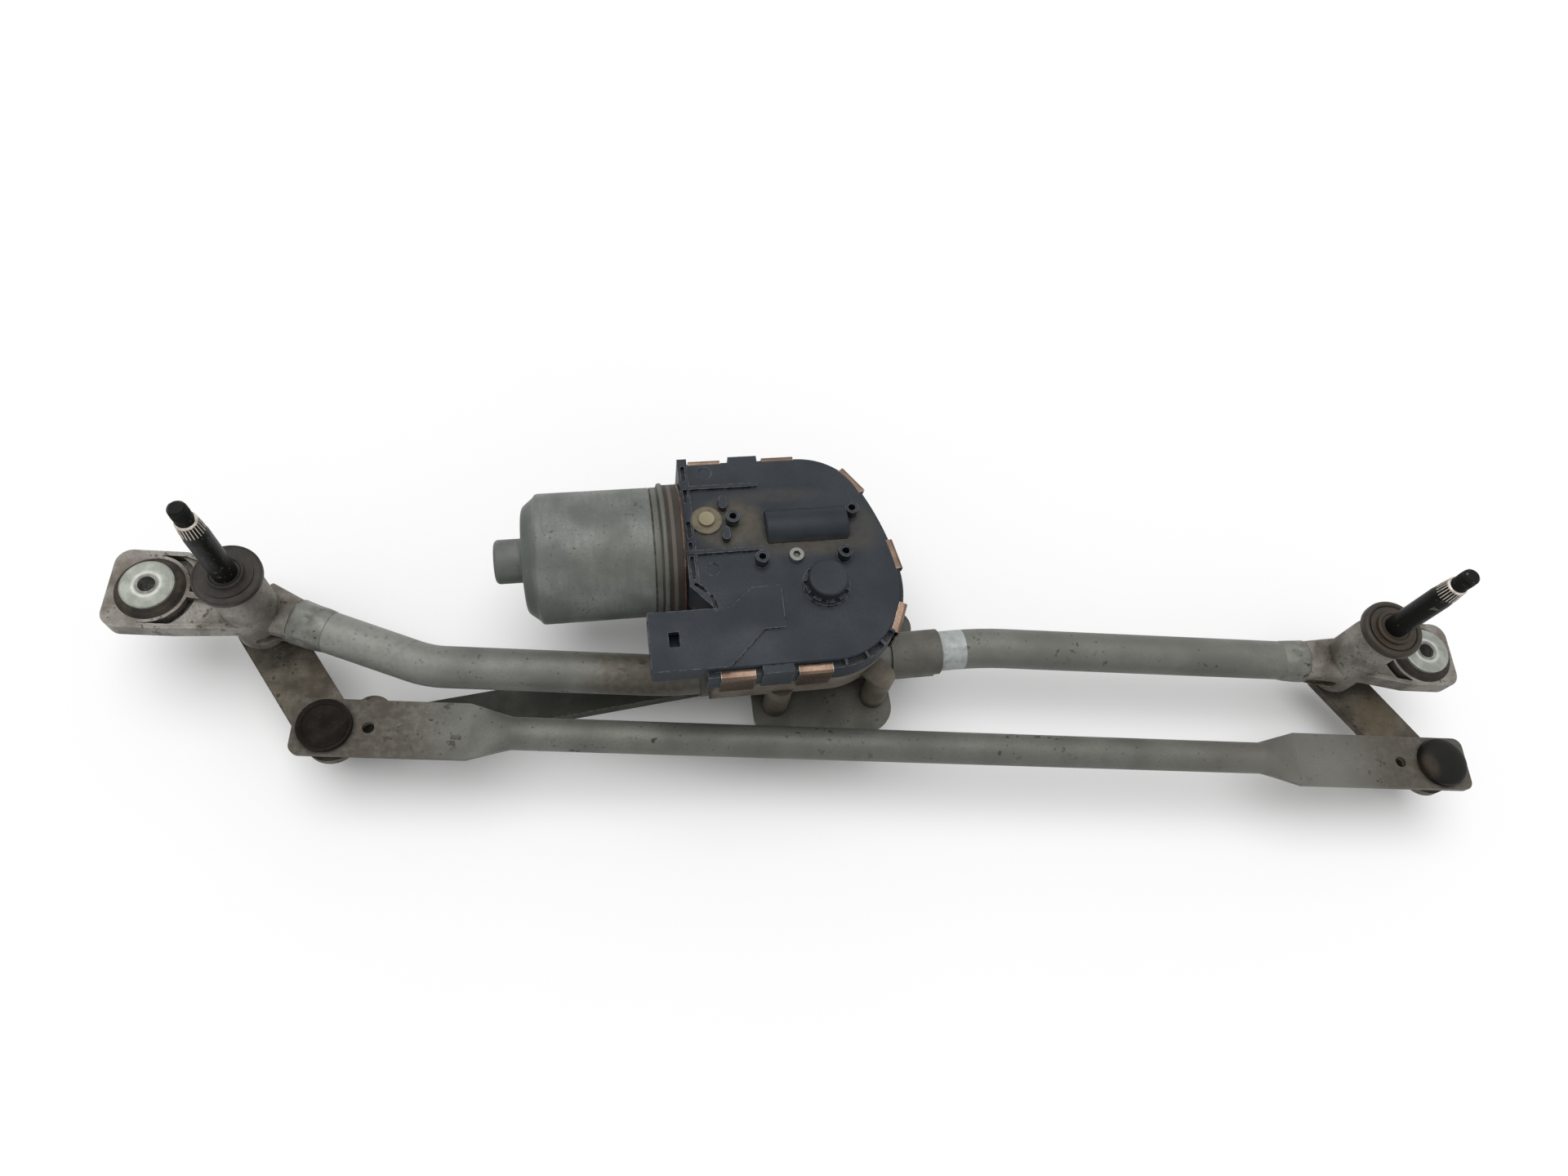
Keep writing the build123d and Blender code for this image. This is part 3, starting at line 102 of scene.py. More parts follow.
# How much of a stain and of the corner dirt and painted shade the noise takes away.
STAIN_TEAR = 0.4
DIRT_AND_SHADE_TEAR = 0.55
# The part of a round patch's radius that it covers fully.
DISC_CORE = 0.75
# How grain, specks and pits show in colour, height and roughness.
GRAIN_SHARE = 0.45
SPECK_SHARE = 0.6
SPECK_SPREAD = 0.8
PITS_PER_CLUSTER = 9
PIT_DEPTH = 3.0
CLOUD_ROUGHNESS = -0.1
GRAIN_ROUGHNESS = 0.14
# Rays that look for corners and edges at each point.
RAY_COUNT = 6
# Corners of a mesh that lie nearer than this are one.
MERGE_DISTANCE = 1e-7


def on_motor(u: float, v: float, z: float) -> Point:
    """A point given along and across the motor and above the levers, in millimetres.

    Args:
        u: Distance along the motor axis from the output shaft.
        v: Distance across it.
        z: Height above the levers' mid plane.

    Returns:
        The same point in the part's frame, in metres.
    """
    cos, sin = math.cos(MOTOR_TURN), math.sin(MOTOR_TURN)
    x = OUTPUT[0] + (u * cos - v * sin) / 1000
    y = OUTPUT[1] + (u * sin + v * cos) / 1000
    return (x, y, LEVER_Z + z / 1000)


class Signal:
    """One socket of a node tree, with arithmetic that adds Math nodes."""

    def __init__(self, graph: Graph, socket: bpy.types.NodeSocket) -> None:
        """Keep the socket and the tree that it belongs to."""
        self.graph = graph
        self.socket = socket

    def _math(self, operation: str, first: object, second: object) -> Signal:
        """Add one Math node.

        Args:
            operation: The node's operation.
            first: Its first value or signal.
            second: Its second value or signal.

        Returns:
            The node's result.
        """
        return self.graph.node(
            "ShaderNodeMath", {"operation": operation}, {0: first, 1: second}
        )

    def __add__(self, other: object) -> Signal:
        """This signal plus another."""
        return self._math("ADD", self, other)

    def __radd__(self, other: object) -> Signal:
        """A number plus this signal."""
        return self._math("ADD", other, self)

    def __sub__(self, other: object) -> Signal:
        """This signal less another."""
        return self._math("SUBTRACT", self, other)

    def __rsub__(self, other: object) -> Signal:
        """A number less this signal."""
        return self._math("SUBTRACT", other, self)

    def __mul__(self, other: object) -> Signal:
        """This signal times another."""
        return self._math("MULTIPLY", self, other)

    def __rmul__(self, other: object) -> Signal:
        """A number times this signal."""
        return self._math("MULTIPLY", other, self)

    def __truediv__(self, other: object) -> Signal:
        """This signal divided by another."""
        return self._math("DIVIDE", self, other)

    def __rtruediv__(self, other: object) -> Signal:
        """A number divided by this signal."""
        return self._math("DIVIDE", other, self)

    def above(self, low: float, high: float) -> Signal:
        """A smooth step.

        Args:
            low: The value at which the step starts.
            high: The value at which it is complete.

        Returns:
            0 below low, 1 above high.
        """
        return self.graph.node(
            "ShaderNodeMapRange",
            {"interpolation_type": "SMOOTHSTEP"},
            {"Value": self, "From Min": low, "From Max": high},
        )

    def at_least(self, other: object) -> Signal:
        """The larger of this signal and another."""
        return self._math("MAXIMUM", self, other)


class Graph:
    """A node tree that is filled node by node."""

    def __init__(self, tree: bpy.types.NodeTree) -> None:
        """Start with an empty tree.

        Args:
            tree: The tree, which is cleared.
        """
        self.nodes = tree.nodes
        self.links = tree.links
        self.nodes.clear()

    def add(
        self,
        kind: str,
        settings: dict[str, object] | None = None,
        sockets: dict[object, object] | None = None,
    ) -> bpy.types.Node:
        """Add one node.

        Args:
            kind: The node's type.
            settings: Its own settings, set first.
            sockets: Values or signals for its inputs, by name or place.

        Returns:
            The node.
        """
        made = self.nodes.new(kind)
        for key, value in (settings or {}).items():
            setattr(made, key, value)
        for key, value in (sockets or {}).items():
            if isinstance(value, Signal):
                self.links.new(value.socket, made.inputs[key])
            elif isinstance(value, tuple) and made.inputs[key].type == "RGBA":
                made.inputs[key].default_value = (*value, 1.0)
            else:
                made.inputs[key].default_value = value
        return made

    def node(
        self,
        kind: str,
        settings: dict[str, object] | None = None,
        sockets: dict[object, object] | None = None,
        output: object = 0,
    ) -> Signal:
        """Add one node and take an output of it.

        Args:
            kind: The node's type.
            settings: Its own settings, set first.
            sockets: Values or signals for its inputs, by name or place.
            output: The output to return, by name or place.

        Returns:
            That output.
        """
        return Signal(self, self.add(kind, settings, sockets).outputs[output])


class Shader(Graph):
    """The node tree of one material."""

    def __init__(self, name: str) -> None:
        """Start an empty material.

        Args:
            name: The material's name.
        """
        self.material = bpy.data.materials.new(name)
        self.material.use_nodes = True
        super().__init__(self.material.node_tree)
        self.place = self.node("ShaderNodeTexCoord", output="Object")

    def noise(self, scale: float, detail: float = 4.0, vector: Signal | None = None) -> Signal:
        """Soft noise from 0 to 1.

        Args:
            scale: Features per metre.
            detail: Octaves.
            vector: Where it is read, the plain place by default.

        Returns:
            The noise's value.
        """
        return self.node(
            "ShaderNodeTexNoise",
            {},
            {"Vector": vector or self.place, "Scale": scale, "Detail": detail},
            "Fac",
        )

    def cells(self, scale: float) -> Signal:
        """Distance to the nearest of scattered points, for pits and specks."""
        sockets = {"Vector": self.place, "Scale": scale}
        return self.node("ShaderNodeTexVoronoi", {}, sockets, "Distance")

    def stretched(self, centre: Point, size: Point, turn: Point = (0, 0, 0)) -> Signal:
        """The place measured from a centre along turned axes, in units of a size.

        Args:
            centre: The new origin.
            size: The new units along the axes.
            turn: The new axes' angles.

        Returns:
            The place as a vector.
        """
        return self.node(
            "ShaderNodeMapping",
            {"vector_type": "TEXTURE"},
            {"Vector": self.place, "Location": centre, "Rotation": turn, "Scale": size},
        )

    def length(self, vector: Signal) -> Signal:
        """The length of a vector."""
        return self.node("ShaderNodeVectorMath", {"operation": "LENGTH"}, {0: vector}, "Value")

    def mix(self, share: object, first: object, second: object) -> Signal:
        """Blend two colours.

        Args:
            share: How much of the second, from 0 to 1.
            first: The first colour.
            second: The second colour.

        Returns:
            The blended colour.
        """
        # The node's colour sockets go by place, because its number and vector sockets share
        # their names.
        return self.node(
            "ShaderNodeMix", {"data_type": "RGBA"}, {0: share, 6: first, 7: second}, 2
        )

    def corner(self, reach: float, own_shape: bool) -> Signal:
        """How deep in a corner or gap a place lies.

        Args:
            reach: How far away its walls may be, in metres.
            own_shape: Whether the walls are only those of the piece itself.

        Returns:
            0 in the open, towards 1 in a gap.
        """
        openness = self.node(
            "ShaderNodeAmbientOcclusion",
            {"samples": RAY_COUNT, "only_local": own_shape},
            {"Distance": reach},
            "AO",
        )
        return 1 - openness

    def edge(self, width: float) -> Signal:
        """How near a place is to a sharp edge.

        Args:
            width: The edge's width in metres.

        Returns:
            0 on a face, towards 1 at an edge.
        """
        rounded = self.node("ShaderNodeBevel", {"samples": RAY_COUNT}, {"Radius": width})
        face = self.node("ShaderNodeNewGeometry", output="Normal")
        agreement = self.node(
            "ShaderNodeVectorMath", {"operation": "DOT_PRODUCT"}, {0: rounded, 1: face}, "Value"
        )
        return (1 - agreement).above(*EDGE_BAND)

    def surface(
        self,
        colour: Signal,
        roughness: Signal,
        metallic: float,
        specular: float,
        height: Signal,
        depth: float,
    ) -> bpy.types.Material:
        """Close the tree with its surface.

        Args:
            colour: The base colour.
            roughness: The roughness.
            metallic: From 0 to 1.
            specular: The reflection's level, 0.5 for most things.
            height: The relief's height.
            depth: The relief's depth in metres.

        Returns:
            The finished material.
        """
        bump = self.node(
            "ShaderNodeBump", {}, {"Strength": 1.0, "Distance": depth, "Height": height}
        )
        shader = self.node(
            "ShaderNodeBsdfPrincipled",
            {},
            {
                "Base Color": colour,
                "Roughness": roughness,
                "Metallic": metallic,
                "Specular IOR Level": specular,
                "Normal": bump,
            },
        )
        self.add("ShaderNodeOutputMaterial", {}, {"Surface": shader})
        return self.material


@dataclass(frozen=True)
class Stain:
    """A patch of dirt, dust, bare metal or painted shade on a finish.

    Attributes:
        centre: Its middle, in metres.
        size: Its half sizes along the axes, in metres.
        colour: Its colour.
        amount: How much it covers, from 0 to 1.
        core: The part of its size that it covers fully.
        ragged: Whether noise tears it.
        turn: Its axes' angle about the vertical.
    """

    centre: Point
    size: Point
    colour: Colour
    amount: float = 0.8
    core: float = 0.35
    ragged: bool = True
    turn: float = 0.0

    def laid_on(self, shader: Shader, colour: Signal) -> Signal:
        """Lay the patch over a colour.

        Args:
            shader: The tree that it is added to.
            colour: The colour below.

        Returns:
            The colour with the patch.
        """
        away = shader.length(shader.stretched(self.centre, self.size, (0, 0, self.turn)))
        share = (1 - away.above(self.core, 1.0)) * self.amount
        if self.ragged:
            tear = shader.noise(STAIN_SCALE, 6.0).above(*STAIN_BAND)
            share = share * (tear * STAIN_TEAR + (1 - STAIN_TEAR))
        return shader.mix(share, colour, self.colour)


@dataclass(frozen=True)
class WornFinish:
    """A finish with clouds, fine grain, pits, corners darkened with dirt and painted shade, edges
    tinted with wear and painted highlights, and stains.

    Scales are features per metre, widths and reaches are metres, and shares go from 0 to 1.

    Attributes:
        base: Its main colour.
        shade: The colour of its clouds.
        relief: How deep grain and pits are.
        dirt_and_shade_reach: How near the walls of a corner darkened with dirt and painted shade
            are.
        own_dirt_and_shade: Whether those walls are only the piece's own.
        brushed: The size of its brush marks along, across and above the motor.
        stains: Its patches, each laid over the one before.
    """

    name: str
    base: Colour
    shade: Colour
    pit: Colour = (0.02, 0.018, 0.015)
    roughness: float = 0.5
    metallic: float = 0.0
    specular: float = 0.3
    cloud_scale: float = 45.0
    grain_scale: float = 900.0
    pit_scale: float = 300.0
    pit_share: float = 0.0
    relief: float = 0.00008
    dirt_and_shade: Colour = (0.022, 0.018, 0.014)
    dirt_and_shade_share: float = 0.6
    dirt_and_shade_reach: float = 0.007
    own_dirt_and_shade: bool = True
    wear_and_highlight: Colour = (0.3, 0.29, 0.27)
    wear_and_highlight_share: float = 0.0
    wear_and_highlight_width: float = 0.0006
    brushed: Point | None = None
    stains: tuple[Stain, ...] = ()

    def material(self) -> bpy.types.Material:
        """Make the finish's material.

        Returns:
            The material.
        """
        shader = Shader(self.name)
        cloud = shader.noise(self.cloud_scale, 5.0).above(*CLOUD_BAND)
        grain = shader.noise(self.grain_scale, 3.0)
        colour = shader.mix(cloud, self.shade, self.base)
        colour = shader.mix(grain.above(*GRAIN_BAND) * GRAIN_SHARE, colour, self.shade)
        if self.brushed:
            lines = shader.stretched((0, 0, 0), self.brushed, (0, 0, MOTOR_TURN))
            streak = shader.noise(1.0, 3.0, lines).above(*STREAK_BAND)
            colour = shader.mix(streak * GRAIN_SHARE, colour, self.shade)
        height = grain
        if self.pit_share:
            pit = self.pits_on(shader)
            colour = shader.mix(pit * self.pit_share, colour, self.pit)
            height = grain - pit * PIT_DEPTH
        for stain in self.stains:
            colour = stain.laid_on(shader, colour)
        # Corners and gaps take the dark corner colour: real dirt, and painted shade where shade
        # falls in and between parts.
        if self.dirt_and_shade_share:
            ragged = shader.noise(DIRT_AND_SHADE_SCALE, 5.0).above(*DIRT_AND_SHADE_BAND) * DIRT_AND_SHADE_TEAR + (1 - DIRT_AND_SHADE_TEAR)
            corner = shader.corner(self.dirt_and_shade_reach, self.own_dirt_and_shade).above(*CORNER_BAND)
            colour = shader.mix(corner * ragged * self.dirt_and_shade_share, colour, self.dirt_and_shade)
        # Edges take the edge colour: wear, and on some finishes a painted highlight along the edge.
        if self.wear_and_highlight_share:
            edge_patches = shader.noise(WEAR_AND_HIGHLIGHT_SCALE, 4.0).above(*WEAR_AND_HIGHLIGHT_BAND)
            share = shader.edge(self.wear_and_highlight_width) * edge_patches * self.wear_and_highlight_share
            colour = shader.mix(share, colour, self.wear_and_highlight)
        roughness = (cloud * CLOUD_ROUGHNESS) + (grain * GRAIN_ROUGHNESS) + self.roughness
        return shader.surface(
            colour, roughness, self.metallic, self.specular, height, self.relief
        )

    def pits_on(self, shader: Shader) -> Signal:
        """Pits in clusters and single specks between them.

        Args:
            shader: The tree that they are added to.

        Returns:
            0 on the plain surface, 1 in a pit.
        """
        cluster = shader.noise(self.pit_scale / PITS_PER_CLUSTER, 3.0).above(*CLUSTER_BAND)
        speck = 1 - shader.cells(self.pit_scale * SPECK_SPREAD).above(*SPECK_BAND)
        blot = shader.noise(self.pit_scale, 4.0).above(*BLOT_BAND)
        return (blot * cluster).at_least(speck * SPECK_SHARE)


def motor_stain(
    place: Point,
    size: Point,
    colour: Colour,
    amount: float,
    core: float,
    ragged: bool = True,
) -> Stain:
    """A patch that lies square to the motor.

    Args:
        place: Its centre, as on_motor takes it.
        size: Its half sizes along and across the motor and upwards, in metres.
        colour: Its colour.
        amount: How much it covers, from 0 to 1.
        core: The part of its size that it covers fully.
        ragged: Whether noise tears it.

    Returns:
        The patch.
    """
    return Stain(on_motor(*place), size, colour, amount, core, ragged, MOTOR_TURN)


def disc_stains(
    place: tuple[float, float], *rings: tuple[float, Colour, float]
) -> tuple[Stain, ...]:
    """Round patches about one centre, the widest first.

    Args:
        place: Their centre in plan.
        rings: Each one's radius in metres, colour and amount.

    Returns:
        The patches.
    """
    return tuple(
        Stain((*place, 0.0), (radius, radius, ANY), colour, amount, DISC_CORE)
        for radius, colour, amount in rings
    )


# Colours of dirt and rust, and the bright ring round a mount's bore with a dark ring inside it,
# which is dirt and painted shade in the bore.
BROWN = (0.040, 0.030, 0.021)
DARK_BROWN = (0.022, 0.018, 0.014)
RUST = (0.060, 0.040, 0.027)
RUST_BROWN = (0.062, 0.040, 0.024)
WASHER_RINGS = (
    (0.0082, (0.62, 0.63, 0.58), 0.75),
    (0.0068, (0.08, 0.075, 0.068), 0.9),
)


class Finish(Enum):
    """The finishes of the unit's pieces."""

    ZINC_TUBE = WornFinish(
        "zinc_tube", (0.180, 0.183, 0.165), (0.116, 0.119, 0.106), roughness=0.5,
        metallic=0.2, cloud_scale=30.0, pit_share=0.92, pit_scale=240.0, own_dirt_and_shade=False,
        stains=(
            Stain((0.100, -0.02, 0.0), (0.060, ANY, ANY), (0.235, 0.240, 0.218), 0.8, 0.3),
            Stain((0.52, -0.03, 0.0), (0.26, ANY, ANY), (0.115, 0.115, 0.100), 0.5),
            Stain((0.250, -0.035, 0.0), (0.042, ANY, ANY), (0.068, 0.053, 0.037), 0.8),
            motor_stain((74.6, -20.6, 15), (0.0080, ANY, ANY), (0.37, 0.40, 0.395), 0.95, 0.94),
        ),
    )
    ROD_ZINC = WornFinish(
        "rod_zinc", (0.146, 0.148, 0.131), (0.088, 0.088, 0.077), roughness=0.5,
        metallic=0.2, cloud_scale=28.0, pit_share=0.92, pit_scale=240.0,
        stains=(
            Stain((0.100, -0.0646, 0.0), (0.068, ANY, ANY), (0.044, 0.034, 0.022), 0.95, 0.35),
            Stain((0.600, -0.0646, 0.0), (0.080, ANY, ANY), (0.125, 0.120, 0.103), 0.6, 0.3),
            Stain((0.360, -0.0646, 0.0), (0.110, ANY, ANY), (0.090, 0.092, 0.082), 0.6, 0.3),
            Stain((0.690, -0.0646, 0.0), (0.062, ANY, ANY), (0.060, 0.049, 0.035), 0.85, 0.3),
            *disc_stains(LEFT_BALL, (0.0170, DARK_BROWN, 0.85)),
            *disc_stains(RIGHT_BALL, (0.0162, DARK_BROWN, 0.7)),
        ),
    )
    SLEEVE_ZINC = WornFinish(
        "sleeve_zinc", (0.205, 0.205, 0.187), (0.120, 0.120, 0.106), roughness=0.45,
        metallic=0.3, cloud_scale=110.0, wear_and_highlight_share=0.7, dirt_and_shade_reach=0.003, dirt_and_shade_share=0.8,
        pit_share=0.8, pit_scale=300.0,
    )
    PLATE_STEEL = WornFinish(
        "plate_steel", (0.125, 0.124, 0.106), (0.080, 0.078, 0.066), roughness=0.6,
        metallic=0.15, pit_share=0.5, pit_scale=380.0, cloud_scale=60.0, own_dirt_and_shade=False,
        stains=(
            Stain(on_motor(34, -21, 16), (0.03, 0.03, ANY), (0.125, 0.118, 0.100), 0.8),
            Stain(on_motor(-60, -21, 16), (0.03, 0.03, ANY), (0.110, 0.098, 0.080), 0.7),
        ),
    )
    CASTING = WornFinish(
        "casting", (0.272, 0.256, 0.231), (0.115, 0.098, 0.080), roughness=0.55,
        metallic=0.25, cloud_scale=70.0, relief=0.00016, dirt_and_shade_share=0.8, own_dirt_and_shade=False,
        dirt_and_shade=(0.024, 0.018, 0.012), dirt_and_shade_reach=0.004, wear_and_highlight=(0.44, 0.43, 0.41), wear_and_highlight_share=0.8,
        pit=(0.050, 0.038, 0.026), pit_share=0.7, pit_scale=260.0,
        stains=(
            Stain((0.052, -0.019, -0.004), (0.019, 0.010, 0.010), BROWN, 0.35),
            Stain((0.633, -0.016, -0.008), (0.022, 0.012, 0.012), RUST_BROWN, 0.9),
            Stain((0.6405, -0.003, 0.012), (0.007, 0.013, 0.024), BROWN, 0.6),
            Stain((0.664, 0.002, 0.012), (0.012, 0.014, 0.012), BROWN, 0.8),
            Stain((0.022, 0.008, 0.010), (0.012, 0.012, 0.008), RUST_BROWN, 0.85),
        ),
    )
    GEARBOX_CASTING = WornFinish(
        "gearbox_casting", (0.150, 0.132, 0.106), (0.082, 0.070, 0.054), roughness=0.6,
        metallic=0.15, cloud_scale=60.0, relief=0.00016, dirt_and_shade_share=0.9, own_dirt_and_shade=False,
        dirt_and_shade=(0.022, 0.017, 0.012), dirt_and_shade_reach=0.012, wear_and_highlight=(0.22, 0.20, 0.17), wear_and_highlight_share=0.5,
        stains=(
            motor_stain((-72, 25, 48), (0.0125, ANY, ANY), (0.030, 0.024, 0.019), 1.0, 0.85, False),
            motor_stain((-74.5, 25, 48), (0.0012, ANY, ANY), (0.11, 0.095, 0.08), 0.8, 0.6, False),
        ),
    )
    # Its light edge colour is wear and a painted highlight, as on the edge of the can's dome.
    CAN_STEEL = WornFinish(
        "can_steel", (0.172, 0.182, 0.167), (0.106, 0.114, 0.105), roughness=0.5,
        metallic=0.25, cloud_scale=55.0, pit_share=0.45, pit_scale=420.0, dirt_and_shade_reach=0.004,
        dirt_and_shade_share=0.85, wear_and_highlight=(0.26, 0.275, 0.26), wear_and_highlight_share=0.6,
        brushed=(0.0022, 0.012, 0.012),
        stains=(
            motor_stain(
                (-79.5, 25, 48), (0.0065, ANY, ANY), (0.088, 0.086, 0.072), 0.8, 0.6, False
            ),
            motor_stain((-84.2, 25, 48), (0.0007, ANY, ANY), (0.02, 0.02, 0.018), 0.9, 0.6, False),
            motor_stain((-80.6, 25, 48), (0.0007, ANY, ANY), (0.02, 0.02, 0.018), 0.9, 0.6, False),
            Stain(on_motor(-95, 10, 80), (0.05, 0.03, 0.02), (0.105, 0.105, 0.086), 0.5),
            motor_stain((-148, 25, 46), (0.006, ANY, ANY), (0.07, 0.08, 0.073), 0.7, 0.3, False),
        ),
    )
    LEVER_STEEL = WornFinish(
        "lever_steel", (0.118, 0.103, 0.077), (0.050, 0.041, 0.029), roughness=0.58,
        metallic=0.2, cloud_scale=110.0, pit_share=0.85, pit_scale=330.0, dirt_and_shade_share=0.0,
        wear_and_highlight=(0.012, 0.011, 0.009), wear_and_highlight_share=0.95, wear_and_highlight_width=0.0014,
        stains=(
            Stain((0.058, -0.019, 0.0), (0.016, 0.014, ANY), DARK_BROWN, 0.85),
            Stain((0.078, -0.036, 0.0), (0.007, 0.006, ANY), RUST, 0.45),
            Stain((0.078, -0.052, 0.0), (0.010, 0.010, ANY), DARK_BROWN, 0.6),
            Stain((0.671, -0.034, 0.0), (0.017, 0.017, ANY), (0.105, 0.084, 0.052), 0.85),
            Stain((0.6465, -0.016, 0.0), (0.016, 0.014, ANY), DARK_BROWN, 0.9),
            Stain((0.688, -0.049, 0.0), (0.012, 0.012, ANY), DARK_BROWN, 0.7),
        ),
    )
    # Its light edge colour is wear and a painted highlight along the edges of rod and crank.
    DRIVE_STEEL = WornFinish(
        "drive_steel", (0.072, 0.073, 0.061), (0.038, 0.038, 0.032), roughness=0.55,
        metallic=0.2, cloud_scale=60.0, pit_share=0.85, pit_scale=300.0, dirt_and_shade_share=0.5,
        wear_and_highlight=(0.30, 0.28, 0.25), wear_and_highlight_share=0.9, wear_and_highlight_width=0.0007,
        stains=(Stain((0.10, -0.050, -0.020), (0.08, 0.04, ANY), DARK_BROWN, 0.7),),
    )
    SPINDLE_STEEL = WornFinish(
        "spindle_steel", (0.0075, 0.0075, 0.0064), (0.0045, 0.0045, 0.004), roughness=0.36,
        specular=0.1, dirt_and_shade_share=0.0, wear_and_highlight=(0.10, 0.095, 0.085), wear_and_highlight_share=0.5,
        pit=(0.22, 0.21, 0.19), pit_share=0.4, pit_scale=300.0,
    )
    KNURL_STEEL = WornFinish(
        "knurl_steel", (0.72, 0.68, 0.62), (0.45, 0.38, 0.31), roughness=0.36,
        metallic=0.55, cloud_scale=400.0, dirt_and_shade_share=0.85, dirt_and_shade_reach=0.0006,
    )
    PALE_ZINC = WornFinish(
        "pale_zinc", (0.325, 0.34, 0.305), (0.22, 0.235, 0.205), roughness=0.4,
        metallic=0.3, relief=0.00005, cloud_scale=170.0, wear_and_highlight=(0.7, 0.7, 0.66),
        wear_and_highlight_share=0.6, own_dirt_and_shade=False, dirt_and_shade_share=0.5, dirt_and_shade_reach=0.003,
        stains=(
            *disc_stains(LEFT_MOUNT, *WASHER_RINGS),
            *disc_stains(RIGHT_MOUNT, *WASHER_RINGS),
        ),
    )
    SCREW_ZINC = WornFinish(
        "screw_zinc", (0.20, 0.205, 0.195), (0.13, 0.13, 0.12), roughness=0.4,
        metallic=0.5, dirt_and_shade_reach=0.003, dirt_and_shade_share=0.9,
    )
    # Its bright edge colour is wear and a painted highlight along the clips' bends.
    CLIP_STEEL = WornFinish(
        "clip_steel", (0.190, 0.130, 0.095), (0.095, 0.063, 0.046), roughness=0.22,
        metallic=0.85, cloud_scale=70.0, relief=0.0, wear_and_highlight=(0.80, 0.72, 0.64), wear_and_highlight_share=0.9,
        wear_and_highlight_width=0.0004, dirt_and_shade_share=0.8, dirt_and_shade_reach=0.003,
    )
    BRIGHT_STEEL = WornFinish(
        "bright_steel", (0.5, 0.5, 0.5), (0.38, 0.38, 0.38), roughness=0.25,
        metallic=0.9, relief=0.00003, dirt_and_shade_share=0.0,
    )
    # Its light edge colour is a painted highlight along the raised edges of the cover.
    COVER_PLASTIC = WornFinish(
        "cover_plastic", (0.0228, 0.0290, 0.0370), (0.0145, 0.0187, 0.0245), roughness=0.46,
        specular=0.2, cloud_scale=36.0, relief=0.00004, dirt_and_shade=(0.012, 0.0095, 0.007),
        dirt_and_shade_share=0.95, dirt_and_shade_reach=0.004, wear_and_highlight=(0.125, 0.135, 0.15), wear_and_highlight_share=0.95,
        wear_and_highlight_width=0.0009,
        stains=(
            motor_stain(
                (-45.0, 37.0, 72.0), (0.023, 0.018, 0.004), (0.080, 0.068, 0.048), 0.85, 0.5
            ),
            motor_stain(
                (-24.0, 28.0, 72.0), (0.020, 0.015, 0.004), (0.060, 0.053, 0.040), 0.7, 0.3
            ),
            motor_stain((0.0, 21.0, 72.0), (0.030, 0.008, 0.004), (0.068, 0.058, 0.043), 0.75, 0.3),
            motor_stain((24.0, 30.0, 72.0), (0.012, 0.020, 0.004), (0.055, 0.049, 0.038), 0.6, 0.3),
            motor_stain(
                (-20.0, 52.0, 72.0), (0.034, 0.006, 0.004), (0.050, 0.046, 0.038), 0.5, 0.3
            ),
            motor_stain((-40.0, -30.0, 72.0), (0.030, 0.012, ANY), (0.040, 0.045, 0.052), 0.5, 0.2),
            Stain(
                on_motor(-56.6, 39.2, 72.0), (0.0088, 0.0088, 0.004),
                (0.165, 0.140, 0.088), 0.9, 0.85
            ),
        ),
    )
    DUSTY_CAP = WornFinish(
        "dusty_cap", (0.019, 0.015, 0.012), (0.010, 0.008, 0.0065), roughness=0.8,
        specular=0.08, cloud_scale=150.0, relief=0.00012, dirt_and_shade_reach=0.003,
        wear_and_highlight=(0.06, 0.052, 0.042), wear_and_highlight_share=0.6,
        pit=(0.09, 0.078, 0.06), pit_share=0.5, pit_scale=330.0,
    )
    CAP_PLASTIC = WornFinish(
        "cap_plastic", (0.012, 0.0115, 0.0105), (0.008, 0.0078, 0.0073), roughness=0.4,
        specular=0.1, dirt_and_shade_reach=0.002, wear_and_highlight=(0.05, 0.05, 0.048), wear_and_highlight_share=0.6,
        stains=(
            Stain((0.6816, -0.0686, 0.0), (0.007, 0.010, ANY), (0.045, 0.033, 0.020), 0.7),
        ),
    )
    SEAL_PLASTIC = WornFinish(
        "seal_plastic", (0.042, 0.036, 0.029), (0.022, 0.019, 0.016), roughness=0.45,
        specular=0.22, cloud_scale=90.0, dirt_and_shade_reach=0.004, dirt_and_shade_share=0.7,
        wear_and_highlight=(0.095, 0.085, 0.070), wear_and_highlight_share=0.5,
        stains=(
            Stain((*RIGHT_SPINDLE, 0.028), (0.024, 0.024, ANY), (0.060, 0.044, 0.029), 0.6),
        ),
    )
    RUBBER = WornFinish(
        "rubber", (0.042, 0.030, 0.021), (0.014, 0.011, 0.009), roughness=0.7,
        cloud_scale=160.0, relief=0.00012, dirt_and_shade_share=0.3,
        pit=(0.10, 0.085, 0.06), pit_share=0.7, pit_scale=420.0,
    )
    PIN_BRASS = WornFinish(
        "pin_brass", (0.30, 0.265, 0.18), (0.20, 0.17, 0.105), roughness=0.5,
        metallic=0.2, dirt_and_shade_share=0.5,
    )
    BRONZE = WornFinish(
        "bronze", (0.34, 0.22, 0.10), (0.22, 0.14, 0.06), roughness=0.5, metallic=0.6,
    )
    COPPER = WornFinish(
        "copper", (0.45, 0.17, 0.07), (0.30, 0.10, 0.04), roughness=0.35, metallic=0.8,
    )
    COPPER_RING = WornFinish(
        "copper_ring", (0.14, 0.075, 0.048), (0.06, 0.036, 0.026), roughness=0.4,
        metallic=0.6, cloud_scale=220.0, dirt_and_shade_share=0.4,
    )
    FERRITE = WornFinish(
        "ferrite", (0.035, 0.035, 0.038), (0.022, 0.022, 0.024), roughness=0.7,
    )
